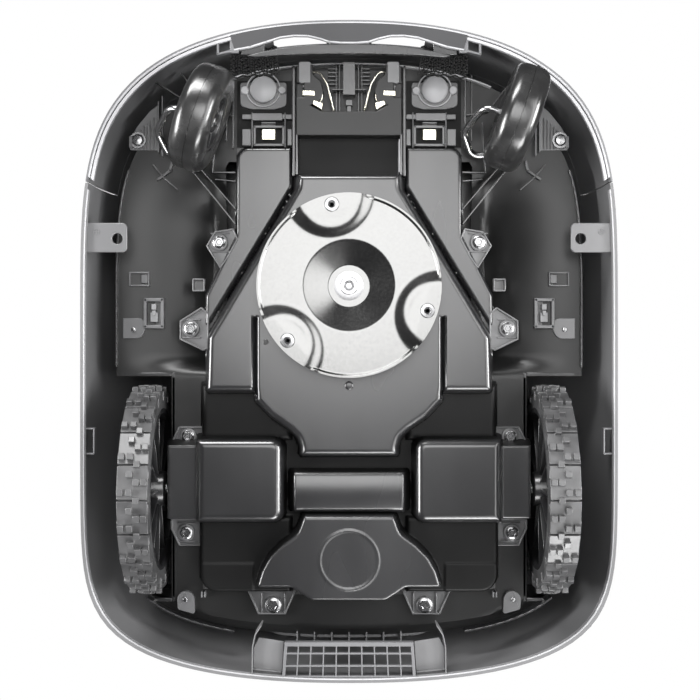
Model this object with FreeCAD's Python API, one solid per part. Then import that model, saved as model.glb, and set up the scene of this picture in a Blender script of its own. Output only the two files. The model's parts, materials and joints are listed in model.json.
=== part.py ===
import FreeCAD, Part
import math
import os

# Robotic lawn mower, millimetres. +Z up, the front faces -Y, the origin is on the ground under
# the middle of the cover, and the wheels stand on z = 0.

os.makedirs("parts", exist_ok=True)
V = FreeCAD.Vector

# ---- driving dimensions ------------------------------------------------------------------------
half_width = 272.5          # cover, at its rim
half_length = 336.0
rim_z = 70.0                # lower edge of the cover
crown_z = 284.0             # flat top of the cover
wall = 3.0                  # plastic wall of the cover
side_power = 2.25           # roundness of the plan outline
front_power = 4.7
rear_power = 8.3
bumper_seam_y = -171.0      # the bumper ends here
bumper_top_z = 175.0

pan_scale = 0.90            # chassis outline against the cover outline
pan_z = 120.0               # underside of the chassis tub
pan_top_z = 190.0
pan_wall = 4.0
lid_thickness = 4.0

wheel_y = 143.0             # rear axle
wheel_radius = 108.6        # over the lugs
wheel_tread_radius = 103.0
wheel_inner_x = 193.0
wheel_outer_x = 224.0
well_x = 243.0              # middle of the wheel wells
well_half_width = 56.0
well_front_y = 26.0
well_rear_y = 260.0
axle_radius = 6.0
bearing_radius = 10.2

caster_x = 157.5            # swivel axis
caster_y = -205.5
caster_trail = 30.0
caster_lean = 19.5          # parked angle of both casters, degrees
caster_radius = 54.0
caster_half_width = 18.5
rod_radius = 3.5

disc_y = -65.0
disc_radius = 91.0
disc_z = 32.0
blade_circle = 81.0
blade_first_angle = 18.0
knob_y = 8.0
guide_x = 62.0              # guide rods of the deck

panel_top_z = 255.0
fit = 0.08                  # radial running clearance of shafts
screw_places = [(136, -114), (165.5, -23), (169, 89), (170.5, 191), (79, 266)]


# ---- small helpers -----------------------------------------------------------------------------
def box(x0, x1, y0, y1, z0, z1):
    return Part.makeBox(x1 - x0, y1 - y0, z1 - z0, V(x0, y0, z0))


def post(x, y, z0, z1, radius):
    return Part.makeCylinder(radius, z1 - z0, V(x, y, z0))


def rod(x0, x1, y, z, radius):
    """Cylinder along X."""
    return Part.makeCylinder(radius, abs(x1 - x0), V(min(x0, x1), y, z), V(1, 0, 0))


def join(shapes):
    result = shapes[0]
    for shape in shapes[1:]:
        result = result.fuse(shape)
    return result.removeSplitter()


def without(shape, cutters):
    for cutter in cutters:
        shape = shape.cut(cutter)
    return shape


def mirrored(shape):
    return shape.mirror(V(0, 0, 0), V(1, 0, 0))


def both(shape):
    """A shape and its mirror image on the other side."""
    return Part.makeCompound([shape, mirrored(shape)])


def both_sides(points):
    """Closed plan outline from its right half, listed front to rear."""
    left = [(-x, y) for x, y in reversed(points) if x > 0]
    return [(x, y) for x, y in points] + left


def prism(points, z0, z1):
    corners = [V(x, y, z0) for x, y in points]
    face = Part.Face(Part.makePolygon(corners + [corners[0]]))
    return face.extrude(V(0, 0, z1 - z0))


def inset_prism(points, inset, z0, z1):
    corners = [V(x, y, z0) for x, y in points]
    wire = Part.makePolygon(corners + [corners[0]])
    return Part.Face(wire.makeOffset2D(-inset)).extrude(V(0, 0, z1 - z0))


def rounded_box(x0, x1, y0, y1, z0, z1, radius):
    solid = box(x0, x1, y0, y1, z0, z1)
    upright = [e for e in solid.Edges if abs(e.Vertexes[0].Z - e.Vertexes[1].Z) > 0.01]
    return solid.makeFillet(radius, upright)


def ring(x, y, z0, z1, outer, inner):
    return post(x, y, z0, z1, outer).cut(post(x, y, z0 - 1, z1 + 1, inner))


def save(name, shape):
    shape.exportStep("parts/" + name + ".step")


# ---- plan outline and dome ---------------------------------------------------------------------
def outline_reach(width, length, angle):
    """Distance from the middle to the superellipse along one direction, found by halving."""
    across, along = math.cos(angle), math.sin(angle)
    power = rear_power if along > 0 else front_power
    low, high = 0.0, width + length
    for _ in range(50):
        reach = (low + high) / 2
        level = abs(reach * across / width) ** side_power + abs(reach * along / length) ** power
        low, high = (reach, high) if level < 1 else (low, reach)
    return reach


def outline(width, length, z, count=56):
    """Closed spline of the plan outline: a superellipse, squarer at the rear than at the front."""
    points = []
    for i in range(count):
        angle = 2 * math.pi * i / count
        reach = outline_reach(width, length, angle)
        points.append(V(reach * math.cos(angle), reach * math.sin(angle), z))
    curve = Part.BSplineCurve()
    curve.interpolate(points, PeriodicFlag=True)
    return Part.Wire(curve.toShape())


dome_levels = [(rim_z, 1.0), (110, 0.998), (135, 0.992), (160, 0.981), (185, 0.96), (205, 0.934),
               (222, 0.902), (238, 0.862), (252, 0.812), (264, 0.748), (273, 0.672),
               (279, 0.59), (282.5, 0.505), (crown_z, 0.42)]


def dome(inset):
    sections = []
    for z, scale in dome_levels:
        level = z - (inset if z == crown_z else inset * (z - rim_z) / (crown_z - rim_z))
        sections.append(outline(half_width * scale - inset, half_length * scale - inset, level))
    return Part.makeLoft(sections, True, True)


def pan_prism(inset, z0, z1):
    wire = outline(half_width * pan_scale - inset, half_length * pan_scale - inset, z0)
    return Part.Face(wire).extrude(V(0, 0, z1 - z0))


def wheel_well(side, margin):
    """Space of a drive wheel, grown by a margin; side is 1 at +X and -1 at -X."""
    reach = well_half_width + margin
    return box(side * well_x - reach, side * well_x + reach, well_front_y - margin,
               well_rear_y + margin, 0, 300)


# ---- belly: plan outlines of its steps (right half, front to rear) and their undersides ---------
flange_half = [(0, -214), (118, -214), (118, -123), (151, -59), (151, 44), (156, 90),
               (156, 178), (154, 250), (60, 256), (0, 256)]
channel_half = [(0, -180), (52, -180), (60, -172), (148, -16), (148, 42), (95, 42), (95, 60),
                (52, 100), (0, 100)]
waist_half = [(0, 90), (75, 90), (75, 175), (0, 175)]
plateau_half = [(0, 168), (46, 168), (58, 200), (92, 222), (92, 240), (45, 256), (0, 256)]
box_right = [(67, 90), (156, 90), (156, 176), (67, 176)]
cap_right = [(140, 96), (187, 96), (187, 171), (140, 171)]
shelf_right = [(95, 180), (154, 180), (154, 249), (95, 249)]
flange_z = 113.0
belly_top_z = 119.0
channel_z = 73.0
box_z = 80.0
belly_steps = [(both_sides(channel_half), channel_z), (both_sides(waist_half), 84.0),
               (both_sides(plateau_half), box_z)]
for right_outline, underside in ((box_right, box_z), (cap_right, 88.0), (shelf_right, 100.0)):
    belly_steps.append((right_outline, underside))
    belly_steps.append(([(-x, y) for x, y in right_outline], underside))

motor_radius = 25.0
floor_hole_inset = 12.0


def floor_opening(z0, z1):
    """Space between belly and tub that the motors and the battery reach through."""
    middle = inset_prism(both_sides(flange_half), floor_hole_inset, z0, z1)
    return middle.fuse(box(-183, 183, 118, 168, z0, z1))


def belly_housing():
    outer = [prism(both_sides(flange_half), flange_z, belly_top_z)]
    outer += [prism(points, z, belly_top_z) for points, z in belly_steps]
    for x, y in screw_places:
        rear_tab = y > 250
        reach_x, reach_y = (7, 16) if rear_tab else (20, 7)
        neck = box(x - reach_x, x + (7 if rear_tab else 0), y - reach_y,
                   y + (0 if rear_tab else 7), flange_z, belly_top_z)
        outer.append(both(post(x, y, flange_z, belly_top_z, 9).fuse(neck)))
    hollow = [inset_prism(points, wall, z + wall, belly_top_z) for points, z in belly_steps]
    hollow.append(floor_opening(flange_z + wall, belly_top_z))
    holes = [post(0, disc_y, channel_z - 1, channel_z + wall + 1, 46)]
    for x, y in screw_places:
        hole = post(x, y, flange_z - 1, belly_top_z + 1, 2.6)
        holes += [hole, mirrored(hole)]
    holes += [rod(s * 170, s * 190, wheel_y, wheel_radius, bearing_radius) for s in (1, -1)]
    return without(join(outer), [join(hollow)] + holes)


def belly_gasket():
    footprint = [prism(both_sides(flange_half), belly_top_z, pan_z)]
    footprint += [prism(points, belly_top_z, pan_z) for points, z in belly_steps]
    gasket = join(footprint).cut(floor_opening(belly_top_z, pan_z))
    return without(gasket, [post(s * x, y, belly_top_z, pan_z, 9) for x, y in screw_places
                            for s in (1, -1)])


def hex_screw(x, y, seat_z, length, size):
    """Flange hex screw put in from below; its head is under seat_z."""
    flange = post(x, y, seat_z - 1.5, seat_z, size * 1.25)
    corners = [V(x + size * math.cos(a), y + size * math.sin(a), seat_z - 4.5)
               for a in [math.radians(60 * i) for i in range(6)]]
    head = Part.Face(Part.makePolygon(corners + [corners[0]])).extrude(V(0, 0, 3))
    return join([flange, head, post(x, y, seat_z, seat_z + length, 2.4)])


def belly_screws():
    screws = [hex_screw(x, y, flange_z, 18, 5.0) for x, y in screw_places]
    return Part.makeCompound(screws + [mirrored(screw) for screw in screws])


# ---- chassis tub, lid and what is fixed in it ---------------------------------------------------
float_places = [(110, -200), (110, 190)]
cap_place = (90, -268)
lid_screw_places = [(60, -262), (200, -60), (150, 262)]


def chassis_tub():
    tub = pan_prism(0, pan_z, pan_top_z)
    hollow = pan_prism(pan_wall, pan_z + pan_wall, pan_top_z)
    tub = without(tub, [wheel_well(s, 0) for s in (1, -1)])
    tub = tub.cut(without(hollow, [wheel_well(s, pan_wall) for s in (1, -1)]))
    tub = tub.cut(floor_opening(pan_z - 1, pan_z + pan_wall))
    towers = [post(s * caster_x, caster_y, pan_z, 174, 14) for s in (1, -1)]
    bosses = [post(s * x, y, pan_z, 134, 6) for x, y in screw_places for s in (1, -1)]
    lid_bosses = [post(s * x, y, pan_z, pan_top_z, 6) for x, y in lid_screw_places for s in (1, -1)]
    board_feet = [post(s * 50, y, pan_z, 140, 4) for y in (-280, -224) for s in (1, -1)]
    tub = join([tub] + towers + bosses + lid_bosses + board_feet)
    bores = [post(s * caster_x, caster_y, pan_z - 1, 180, 9) for s in (1, -1)]
    bores += [post(s * x, y, pan_z - 1, 132, 2.4) for x, y in screw_places for s in (1, -1)]
    bores += [post(s * x, y, 176, 191, 1.6) for x, y in lid_screw_places for s in (1, -1)]
    bores += [rod(s * 182, s * 188, wheel_y, wheel_radius, bearing_radius) for s in (1, -1)]
    bores += [post(s * cap_place[0], cap_place[1], pan_z - 1, 130, 3) for s in (1, -1)]
    return without(tub, bores)


def chassis_lid():
    top = pan_top_z + lid_thickness
    lid = pan_prism(0, pan_top_z, top)
    lid = without(lid, [wheel_well(s, 0) for s in (1, -1)])
    sockets = [post(s * x, y, 165, top, 12) for x, y in float_places for s in (1, -1)]
    lid = join([lid] + sockets)
    bores = [post(s * x, y, 169, top + 1, 8.4) for x, y in float_places for s in (1, -1)]
    bores += [post(s * x, y, 180, top + 1, 2.1) for x, y in lid_screw_places for s in (1, -1)]
    bores.append(post(0, knob_y, 180, top + 1, 7))
    return without(lid, bores)


def lid_screws():
    top = pan_top_z + lid_thickness
    screws = []
    for x, y in lid_screw_places:
        for s in (1, -1):
            screws.append(join([post(s * x, y, top, top + 2.5, 4), post(s * x, y, 178, top, 1.6)]))
    return Part.makeCompound(screws)


def caster_bushes():
    bushes = []
    for s in (1, -1):
        body = join([post(s * caster_x, caster_y, 117, pan_z, 13),
                     post(s * caster_x, caster_y, 117, 174, 9)])
        bushes.append(body.cut(post(s * caster_x, caster_y, 110, 180, rod_radius + fit)))
    return Part.makeCompound(bushes)


def float_caps():
    """Round retaining caps with two ears, screwed under the tub."""
    x, y = cap_place
    cap = join([post(x, y, 112, 117, 14), box(x - 21, x + 21, y - 5, y + 5, 115, pan_z),
                rounded_box(x - 25, x + 25, y - 14, y + 14, 117, pan_z, 4),
                post(x, y, pan_z, 130, 3)])
    return both(cap)


def contact_housing():
    """Front housing whose cavity, open to the front and below, takes the charging plug."""
    block = rounded_box(-58, 58, -298, -216, 90, pan_z, 5)
    cavity = box(-48, 48, -299, -248, 89, 114)
    rib = box(-6, 6, -280, -248, 96, 114)
    cheeks = both(box(34, 48, -297, -274, 94, 114))
    return join([block.cut(cavity), rib, cheeks.Solids[0], cheeks.Solids[1]])


def charge_contacts():
    """Two sprung strips: a flat against the cavity roof and a leaf coming down towards the plug."""
    strip = prism([(0, 0), (8, 0), (8, 34), (0, 34)], 112, 114)
    strip.translate(V(16, -286, 0))
    leaf = box(16, 24, -254, -252, 98, 112)
    return both(join([strip, leaf]))


def main_circuit_board():
    board = box(-53, 53, -288, -216, 140, 141.6)
    chips = [box(-40, -20, -270, -250, 141.6, 144), box(5, 15, -265, -235, 141.6, 150),
             box(25, 45, -262, -240, 141.6, 153)]
    return join([board] + chips)


def battery_pack():
    cells = [rod(-34, 34, 189 + 21.5 * i, 98 + 22 * k, 10.5) for i in range(3) for k in range(2)]
    tray = box(-36, 36, 176, 248, box_z + wall, 98)
    cover = box(-36, 36, 178, 242, 98, 122)
    return join([tray, cover] + cells)


def drive_motor():
    """Gearmotor on the wheel axis; its hollow output end takes the axle."""
    gearbox = rod(125, 152, wheel_y, wheel_radius, motor_radius)
    snout = rod(152, 181, wheel_y, wheel_radius, 17)
    can = rod(76, 125, wheel_y, wheel_radius, 21)
    seat = box(90, 150, wheel_y - 14, wheel_y + 14, box_z + wall, 92)
    return join([gearbox, snout, can, seat]).cut(rod(165, 190, wheel_y, wheel_radius, axle_radius + fit))


def axle_bearings():
    bearing = rod(181, 187, wheel_y, wheel_radius, bearing_radius)
    return both(bearing.cut(rod(180, 190, wheel_y, wheel_radius, axle_radius + fit)))


def guide_rods():
    return both(post(guide_x, disc_y, channel_z + wall, pan_top_z, 5))


key_places = [-45, -15, 15, 45]
key_names = ["power_key", "start_key", "home_key", "menu_key"]


def control_panel():
    top = pan_top_z + lid_thickness
    body = rounded_box(-72, 72, -40, 104, top, panel_top_z, 10)
    body = body.cut(rounded_box(-69, 69, -37, 101, top, panel_top_z - wall, 7))
    holes = [box(x - 8, x + 8, 38, 50, panel_top_z - 4, panel_top_z + 1) for x in key_places]
    return without(body, holes + [post(0, knob_y, panel_top_z - 4, panel_top_z + 1, 5 + fit)])


def key(x):
    cap = rounded_box(x - 7.5, x + 7.5, 38.5, 49.5, 249, panel_top_z + 3, 2)
    return cap


def display_window():
    return rounded_box(-36, 36, 60, 92, panel_top_z, panel_top_z + 1.5, 3)


save("chassis_tub", chassis_tub())
save("belly_housing", belly_housing())
save("belly_gasket", belly_gasket())
save("belly_screws", belly_screws())
save("chassis_lid", chassis_lid())
save("lid_screws", lid_screws())
save("caster_bushes", caster_bushes())
save("float_caps", float_caps())
save("contact_housing", contact_housing())
save("charge_contacts", charge_contacts())
save("main_circuit_board", main_circuit_board())
save("battery_pack", battery_pack())
save("left_drive_motor", mirrored(drive_motor()))
save("right_drive_motor", drive_motor())
save("axle_bearings", axle_bearings())
save("deck_guide_rods", guide_rods())
save("control_panel", control_panel())
save("display_window", display_window())
for key_name, key_x in zip(key_names, key_places):
    save(key_name, key(key_x))


# ---- drive wheels -------------------------------------------------------------------------------
rim_radius = 84.0
lug_rows = 19
spokes = 6


def tyre_ring():
    ring_solid = rod(wheel_inner_x, wheel_outer_x, wheel_y, wheel_radius, wheel_tread_radius)
    lug_slab = rod(wheel_inner_x, wheel_outer_x, wheel_y, wheel_radius, wheel_radius)
    lug_slab = lug_slab.cut(ring_solid)
    lugs = []
    for i in range(lug_rows):
        bar = box(wheel_inner_x, wheel_outer_x, wheel_y - 6, wheel_y + 6, -2, 8)
        bar.rotate(V(0, wheel_y, wheel_radius), V(1, 0, 0), 360 * i / lug_rows)
        lugs.append(bar)
    tyre = ring_solid.fuse(lug_slab.common(Part.makeCompound(lugs)))
    return tyre.cut(rod(wheel_inner_x - 1, wheel_outer_x + 1, wheel_y, wheel_radius, rim_radius))


def wheel_rim():
    outer = rod(wheel_inner_x + 1, wheel_outer_x - 1, wheel_y, wheel_radius, rim_radius)
    outer = outer.cut(rod(wheel_inner_x, wheel_outer_x, wheel_y, wheel_radius, rim_radius - 5))
    hub = rod(190, 222, wheel_y, wheel_radius, 18)
    web = rod(206, 211, wheel_y, wheel_radius, rim_radius - 4)
    windows = []
    for i in range(spokes):
        window = rod(200, 216, wheel_y + 50, wheel_radius, 15)
        window.rotate(V(0, wheel_y, wheel_radius), V(1, 0, 0), 360 * (i + 0.5) / spokes)
        windows.append(window)
    rim = without(join([outer, web, hub]), windows)
    return rim.cut(rod(189, 223, wheel_y, wheel_radius, axle_radius))


def wheel_axle():
    return rod(166, 222, wheel_y, wheel_radius, axle_radius)


def wheel_cap():
    cap = rod(222, 228, wheel_y, wheel_radius, 20)
    return cap.makeFillet(2, [e for e in cap.Edges if abs(e.CenterOfMass.x - 228) < 0.01])


for name, shape in (("wheel_tyre", tyre_ring()), ("wheel_rim", wheel_rim()),
                    ("wheel_axle", wheel_axle()), ("wheel_cap", wheel_cap())):
    save("right_" + name, shape)
    save("left_" + name, mirrored(shape))


# ---- casters: wheel centre trails the swivel axis, held from one side by a bent rod --------------
lean = math.radians(caster_lean)
axle_inward = V(-math.cos(lean), -math.sin(lean), 0)    # from the wheel towards the rod
wheel_centre = V(caster_trail * math.sin(lean), -caster_trail * math.cos(lean), caster_radius)
rod_points = [(wheel_centre + axle_inward * -16, 0), (wheel_centre + axle_inward * 34, 12),
              (V(-40, -20, 88), 14), (V(-30, 2, 105), 12), (V(0, 0, 105), 8), (V(0, 0, 178), 0)]


def bent_path(points):
    """Straight runs joined by tangent arcs; each point carries the radius of its bend."""
    edges = []
    last = points[0][0]
    for i in range(1, len(points) - 1):
        corner, radius = points[i]
        back = (points[i - 1][0] - corner).normalize()
        ahead = (points[i + 1][0] - corner).normalize()
        half_turn = (math.pi - back.getAngle(ahead)) / 2
        reach = radius * math.tan(half_turn)
        start = corner + back * reach
        end = corner + ahead * reach
        inward = (back + ahead).normalize()
        middle = corner + inward * (radius / math.cos(half_turn) - radius)
        edges.append(Part.LineSegment(last, start).toShape())
        edges.append(Part.Arc(start, middle, end).toShape())
        last = end
    edges.append(Part.LineSegment(last, points[-1][0]).toShape())
    return Part.Wire(edges)


def caster_arm():
    path = bent_path(rod_points)
    start = rod_points[0][0]
    section = Part.Wire(Part.makeCircle(rod_radius, start, axle_inward))
    return path.makePipeShell([section], True, False)


def caster_collar():
    """Collar under the bush and clip above it, pressed on the upright of the arm."""
    collar = ring(0, 0, 113.2, 116.7, 7.5, rod_radius)
    clip = ring(0, 0, 174.3, 176, 7.5, rod_radius)
    return Part.makeCompound([collar, clip])


def caster_turned(shape):
    """From an axle along X through the origin to the parked wheel axle."""
    shape.rotate(V(0, 0, 0), V(0, 0, 1), caster_lean)
    shape.translate(wheel_centre)
    return shape


def caster_tyre():
    w = caster_half_width
    tyre = Part.makeCylinder(caster_radius, 2 * w, V(-w, 0, 0), V(1, 0, 0))
    tyre = tyre.makeFillet(11, [e for e in tyre.Edges if len(e.Vertexes) == 1 and
                                abs(abs(e.CenterOfMass.x) - w) < 0.01])
    return caster_turned(tyre.cut(Part.makeCylinder(30, 2 * w + 2, V(-w - 1, 0, 0), V(1, 0, 0))))


def caster_hub():
    w = caster_half_width - 3
    hub = Part.makeCylinder(30, 2 * w, V(-w, 0, 0), V(1, 0, 0))
    for side in (-w, w - 6):
        hub = hub.cut(Part.makeCylinder(25, 6, V(side, 0, 0), V(1, 0, 0)).cut(
            Part.makeCylinder(9, 6, V(side, 0, 0), V(1, 0, 0))))
    bore = Part.makeCylinder(rod_radius + fit, 2 * w + 2, V(-w - 1, 0, 0), V(1, 0, 0))
    return caster_turned(hub.cut(bore))


def placed(shape, x):
    copy = shape.copy()
    copy.translate(V(x, caster_y, 0))
    return copy


for name, shape in (("caster_arm", caster_arm()), ("caster_collars", caster_collar()),
                    ("caster_tyre", caster_tyre()), ("caster_hub", caster_hub())):
    save("right_" + name, placed(shape, caster_x))
    save("left_" + name, placed(shape, -caster_x))


# ---- cutting deck, disc and blades --------------------------------------------------------------
shaft_radius = 6.0
blade_z = disc_z + 2.4
blade_thickness = 1.2
blade_reach = 27.0
dish_radius = 45.0


def deck_carrier():
    """Cup that carries the motor, with ears on the guide rods and an arm to the lift spindle."""
    cup = post(0, disc_y, 50, 84, 42).cut(post(0, disc_y, 54, 85, 38))
    plate = box(-70, 70, disc_y - 12, disc_y + 12, 92, 96)
    arm = box(-14, 14, disc_y, knob_y + 14, 92, 96)
    collar = ring(0, disc_y, 84, 96, 42, 38)
    nut = post(0, knob_y, 92, 150, 12)
    sleeves = [post(s * guide_x, disc_y, 92, 116, 9) for s in (1, -1)]
    deck = join([cup, plate, arm, collar, nut] + sleeves)
    bores = [post(s * guide_x, disc_y, 80, 120, 5 + fit) for s in (1, -1)]
    bores += [post(0, knob_y, 80, 152, 5 + fit), post(0, disc_y, 40, 60, shaft_radius + fit),
              post(0, disc_y, 54, 100, 38)]
    return without(deck, bores)


def cutting_motor():
    motor = join([post(0, disc_y, 54, 112, 37.9), post(0, disc_y, 112, 122, 14)])
    return motor.cut(post(0, disc_y, 50, 80, shaft_radius + fit))


def blade_disc():
    """Steel disc: flat ring with a turned-up rim, and a shallow cone up to the clamped centre."""
    profile = [V(3, 0, 40), V(19, 0, 40), V(22, 0, 38), V(dish_radius, 0, disc_z),
               V(disc_radius, 0, disc_z), V(disc_radius, 0, disc_z + 2),
               V(dish_radius + 1, 0, disc_z + 2), V(23, 0, 40), V(20, 0, 42), V(3, 0, 42)]
    face = Part.Face(Part.makePolygon(profile + [profile[0]]))
    disc = face.revolve(V(0, 0, 0), V(0, 0, 1), 360)
    disc.translate(V(0, disc_y, 0))
    return without(disc, [post(x, y, 20, 50, 3) for x, y in blade_pivots()])


def blade_pivots():
    pivots = []
    for i in range(3):
        angle = math.radians(blade_first_angle + 120 * i)
        pivots.append((blade_circle * math.cos(angle), disc_y + blade_circle * math.sin(angle)))
    return pivots


def cutting_shaft():
    """Motor shaft with the flange that the disc is clamped to."""
    shaft = join([post(0, disc_y, 42, 46, 18), post(0, disc_y, 42, 78, shaft_radius)])
    return shaft.cut(post(0, disc_y, 41, 56, 3))


def disc_screw():
    """Socket cap screw in the middle of the disc."""
    screw = join([post(0, disc_y, 35, 40, 9), post(0, disc_y, 40, 55, 3)])
    return screw.cut(post(0, disc_y, 34, 38.5, 3.4))


def blade_screws():
    screws = []
    for x, y in blade_pivots():
        screws.append(join([post(x, y, disc_z - 3, disc_z, 7), post(x, y, disc_z, 37.4, 3),
                            post(x, y, blade_z + blade_thickness + 0.4, 39.4, 5.5)]))
    return Part.makeCompound(screws)


def blade(index):
    """Razor plate hanging free on its screw, parked over the disc."""
    x, y = blade_pivots()[index]
    plate = rounded_box(-8, blade_reach, -8, 8, 0, blade_thickness, 3)
    plate = plate.cut(post(0, 0, -1, 3, 3 + fit))
    plate.rotate(V(0, 0, 0), V(0, 0, 1), blade_first_angle + 120 * index + 125)
    plate.translate(V(x, y, blade_z))
    return plate


save("deck_carrier", deck_carrier())
save("cutting_motor", cutting_motor())
save("blade_disc", blade_disc())
save("cutting_shaft", cutting_shaft())
save("disc_screw", disc_screw())
save("blade_screws", blade_screws())
for blade_index in range(3):
    save("blade_%d" % (blade_index + 1), blade(blade_index))


# ---- height knob --------------------------------------------------------------------------------
def height_knob():
    knob = post(0, knob_y, panel_top_z + 0.4, 272, 24)
    grips = []
    for i in range(12):
        angle = math.radians(30 * i)
        grips.append(post(24 * math.cos(angle), knob_y + 24 * math.sin(angle), 258, 273, 3))
    return without(knob, grips + [post(0, knob_y, 250, 262, 5)])


save("height_knob", height_knob())
save("lift_spindle", post(0, knob_y, 128, 262, 5))


# ---- cover: shell, bumper, handle and grilles ---------------------------------------------------
hatch_front_y = -95.0
hatch_rear_y = 75.0
hatch_half_width = 85.0
hinge_y = 78.0
hinge_z = 287.2
hinge_radius = 2.7
hinge_pin_radius = 1.2
stop_y = 108.0
stop_radius = 21.5
lug_hole_x = 236.0
lug_hole_y = -115.0
lug_hole_radius = 5.5
outer_dome = dome(0)
inner_dome = dome(wall)


def knuckle(x0, x1, foot_front, foot_rear, foot_z, bore):
    barrel = join([rod(x0, x1, hinge_y, hinge_z, hinge_radius),
                   box(x0, x1, foot_front, foot_rear, foot_z, hinge_z)])
    return barrel.cut(rod(x0 - 1, x1 + 1, hinge_y, hinge_z, bore))


def bumper_region():
    return box(-300, 300, -400, bumper_seam_y, 0, bumper_top_z)


def rear_windows():
    """Hand-hole of the rear handle, crossed by seven ribs."""
    pitch = 18.4
    return [box(pitch * i - 8.2, pitch * i + 8.2, 280, 345, 186, 206)
            for i in [k - 3.5 for k in range(8)]] + \
           [box(s * 89 - 7, s * 89 + 7, 280, 345, 186, 206) for s in (1, -1)]


def cover_shell():
    shell = outer_dome.cut(inner_dome).cut(bumper_region())
    rim_frame = box(262, 275, 78, 110, 74, 84)
    inside = [rim_frame, mirrored(rim_frame)]
    inside += [post(s * x, y, 240.3, 290, 12) for x, y in float_places for s in (1, -1)]
    inside.append(post(0, stop_y, 266, 283, 25))
    shell = join([shell] + [piece.common(outer_dome) for piece in inside])
    shell = join([shell, knuckle(-60, -40, 76, 82, crown_z, hinge_pin_radius),
                  knuckle(40, 60, 76, 82, crown_z, hinge_pin_radius)])
    cutters = [rounded_box(-hatch_half_width, hatch_half_width, hatch_front_y, hatch_rear_y,
                           260, crown_z + 10, 12)]
    cutters += [box(s * 264 - 4, s * 264 + 4, 84, 104, 70, 90) for s in (1, -1)]
    cutters += [post(0, stop_y, 269, 300, stop_radius + 0.6), post(0, stop_y, 260, 300, 8.4)]
    return without(shell, cutters + rear_windows())


def side_lugs():
    """Two lugs on the inner wall of the cover, each with a round hole."""
    lug = rounded_box(226, 275, -131, -101, 76, 80, 5).common(inner_dome)
    return both(lug.cut(post(lug_hole_x, lug_hole_y, 70, 90, lug_hole_radius)))


def front_bumper():
    """Front of the cover, with a wide lower lip and a window each side of the middle."""
    shell = outer_dome.cut(inner_dome).common(bumper_region())
    opening = [(0, -312), (22, -312), (24, -319), (76, -319), (112, -304), (150, -299.5),
               (175, -310), (300, -310), (300, 0), (0, 0)]
    lip = outer_dome.common(box(-300, 300, -400, bumper_seam_y, 0, rim_z + wall))
    lip = lip.cut(prism(both_sides(opening), 0, 100))
    windows = [box(s * 52 - 28, s * 52 + 28, -350, -300, 112, 146) for s in (1, -1)]
    return without(join([shell, lip]), windows)


def bumper_bar():
    """Dark cross bar behind the lip, joined to the bumper in the middle and at both ends."""
    bar = box(-112, 112, -313, -305, rim_z + wall, 84)
    ties = [box(-21, 21, -336, -313, rim_z + wall, 84), box(80, 112, -325, -313, rim_z + wall, 84),
            box(-112, -80, -325, -313, rim_z + wall, 84)]
    return join([bar] + ties).common(inner_dome)


def front_grilles():
    mesh = box(76, 112, -305, -286, 78, 81)
    slots = [box(79 + 8 * i, 83 + 8 * i, -302, -289, 70, 90) for i in range(4)]
    return both(without(mesh, slots))


def rear_handle():
    """Rear edge plate with a grid of square holes."""
    plate = box(-98, 98, 286, 340, 72, 78).common(inner_dome)
    pitch = 12.9
    holes = []
    for column in range(10):
        x = pitch * (column - 4.5)
        for y in (300, 311, 322):
            holes.append(box(x - 5.2, x + 5.2, y, y + 8.6, 70, 80))
    return without(plate, holes)


def hatch_lid():
    lid = rounded_box(1 - hatch_half_width, hatch_half_width - 1, hatch_front_y + 1,
                      hatch_rear_y - 1, crown_z - wall, crown_z, 11)
    tongue = box(-38, 38, hatch_rear_y - 10, hatch_rear_y - 1, crown_z, hinge_z)
    lid = join([lid, tongue, knuckle(-38, 38, hatch_rear_y - 2, hinge_y, crown_z + 0.5,
                                     hinge_pin_radius + fit)])
    return lid.cut(rod(-70, 70, hinge_y, hinge_z, hinge_pin_radius + fit))


def stop_button():
    head = post(0, stop_y, 278, 290, stop_radius)
    head = head.makeFillet(2.5, [e for e in head.Edges if abs(e.CenterOfMass.z - 290) < 0.01])
    return join([head, post(0, stop_y, 260, 278, 8)])


def float_posts():
    """Rubber posts that carry the cover; their flanges rest on the lid sockets."""
    posts = [join([post(s * x, y, 170, 240, 8), post(s * x, y, 194.3, 199, 13)])
             for x, y in float_places for s in (1, -1)]
    return Part.makeCompound(posts)


save("cover_shell", cover_shell())
save("side_lugs", side_lugs())
save("front_bumper", front_bumper())
save("bumper_bar", bumper_bar())
save("front_grilles", front_grilles())
save("rear_handle", rear_handle())
save("hatch_lid", hatch_lid())
save("hatch_hinge_pin", rod(-60, 60, hinge_y, hinge_z, hinge_pin_radius))
save("stop_button", stop_button())
save("float_posts", float_posts())
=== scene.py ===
import json
import math
import bmesh
import bpy
import numpy as np
from mathutils import Matrix, Vector


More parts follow.
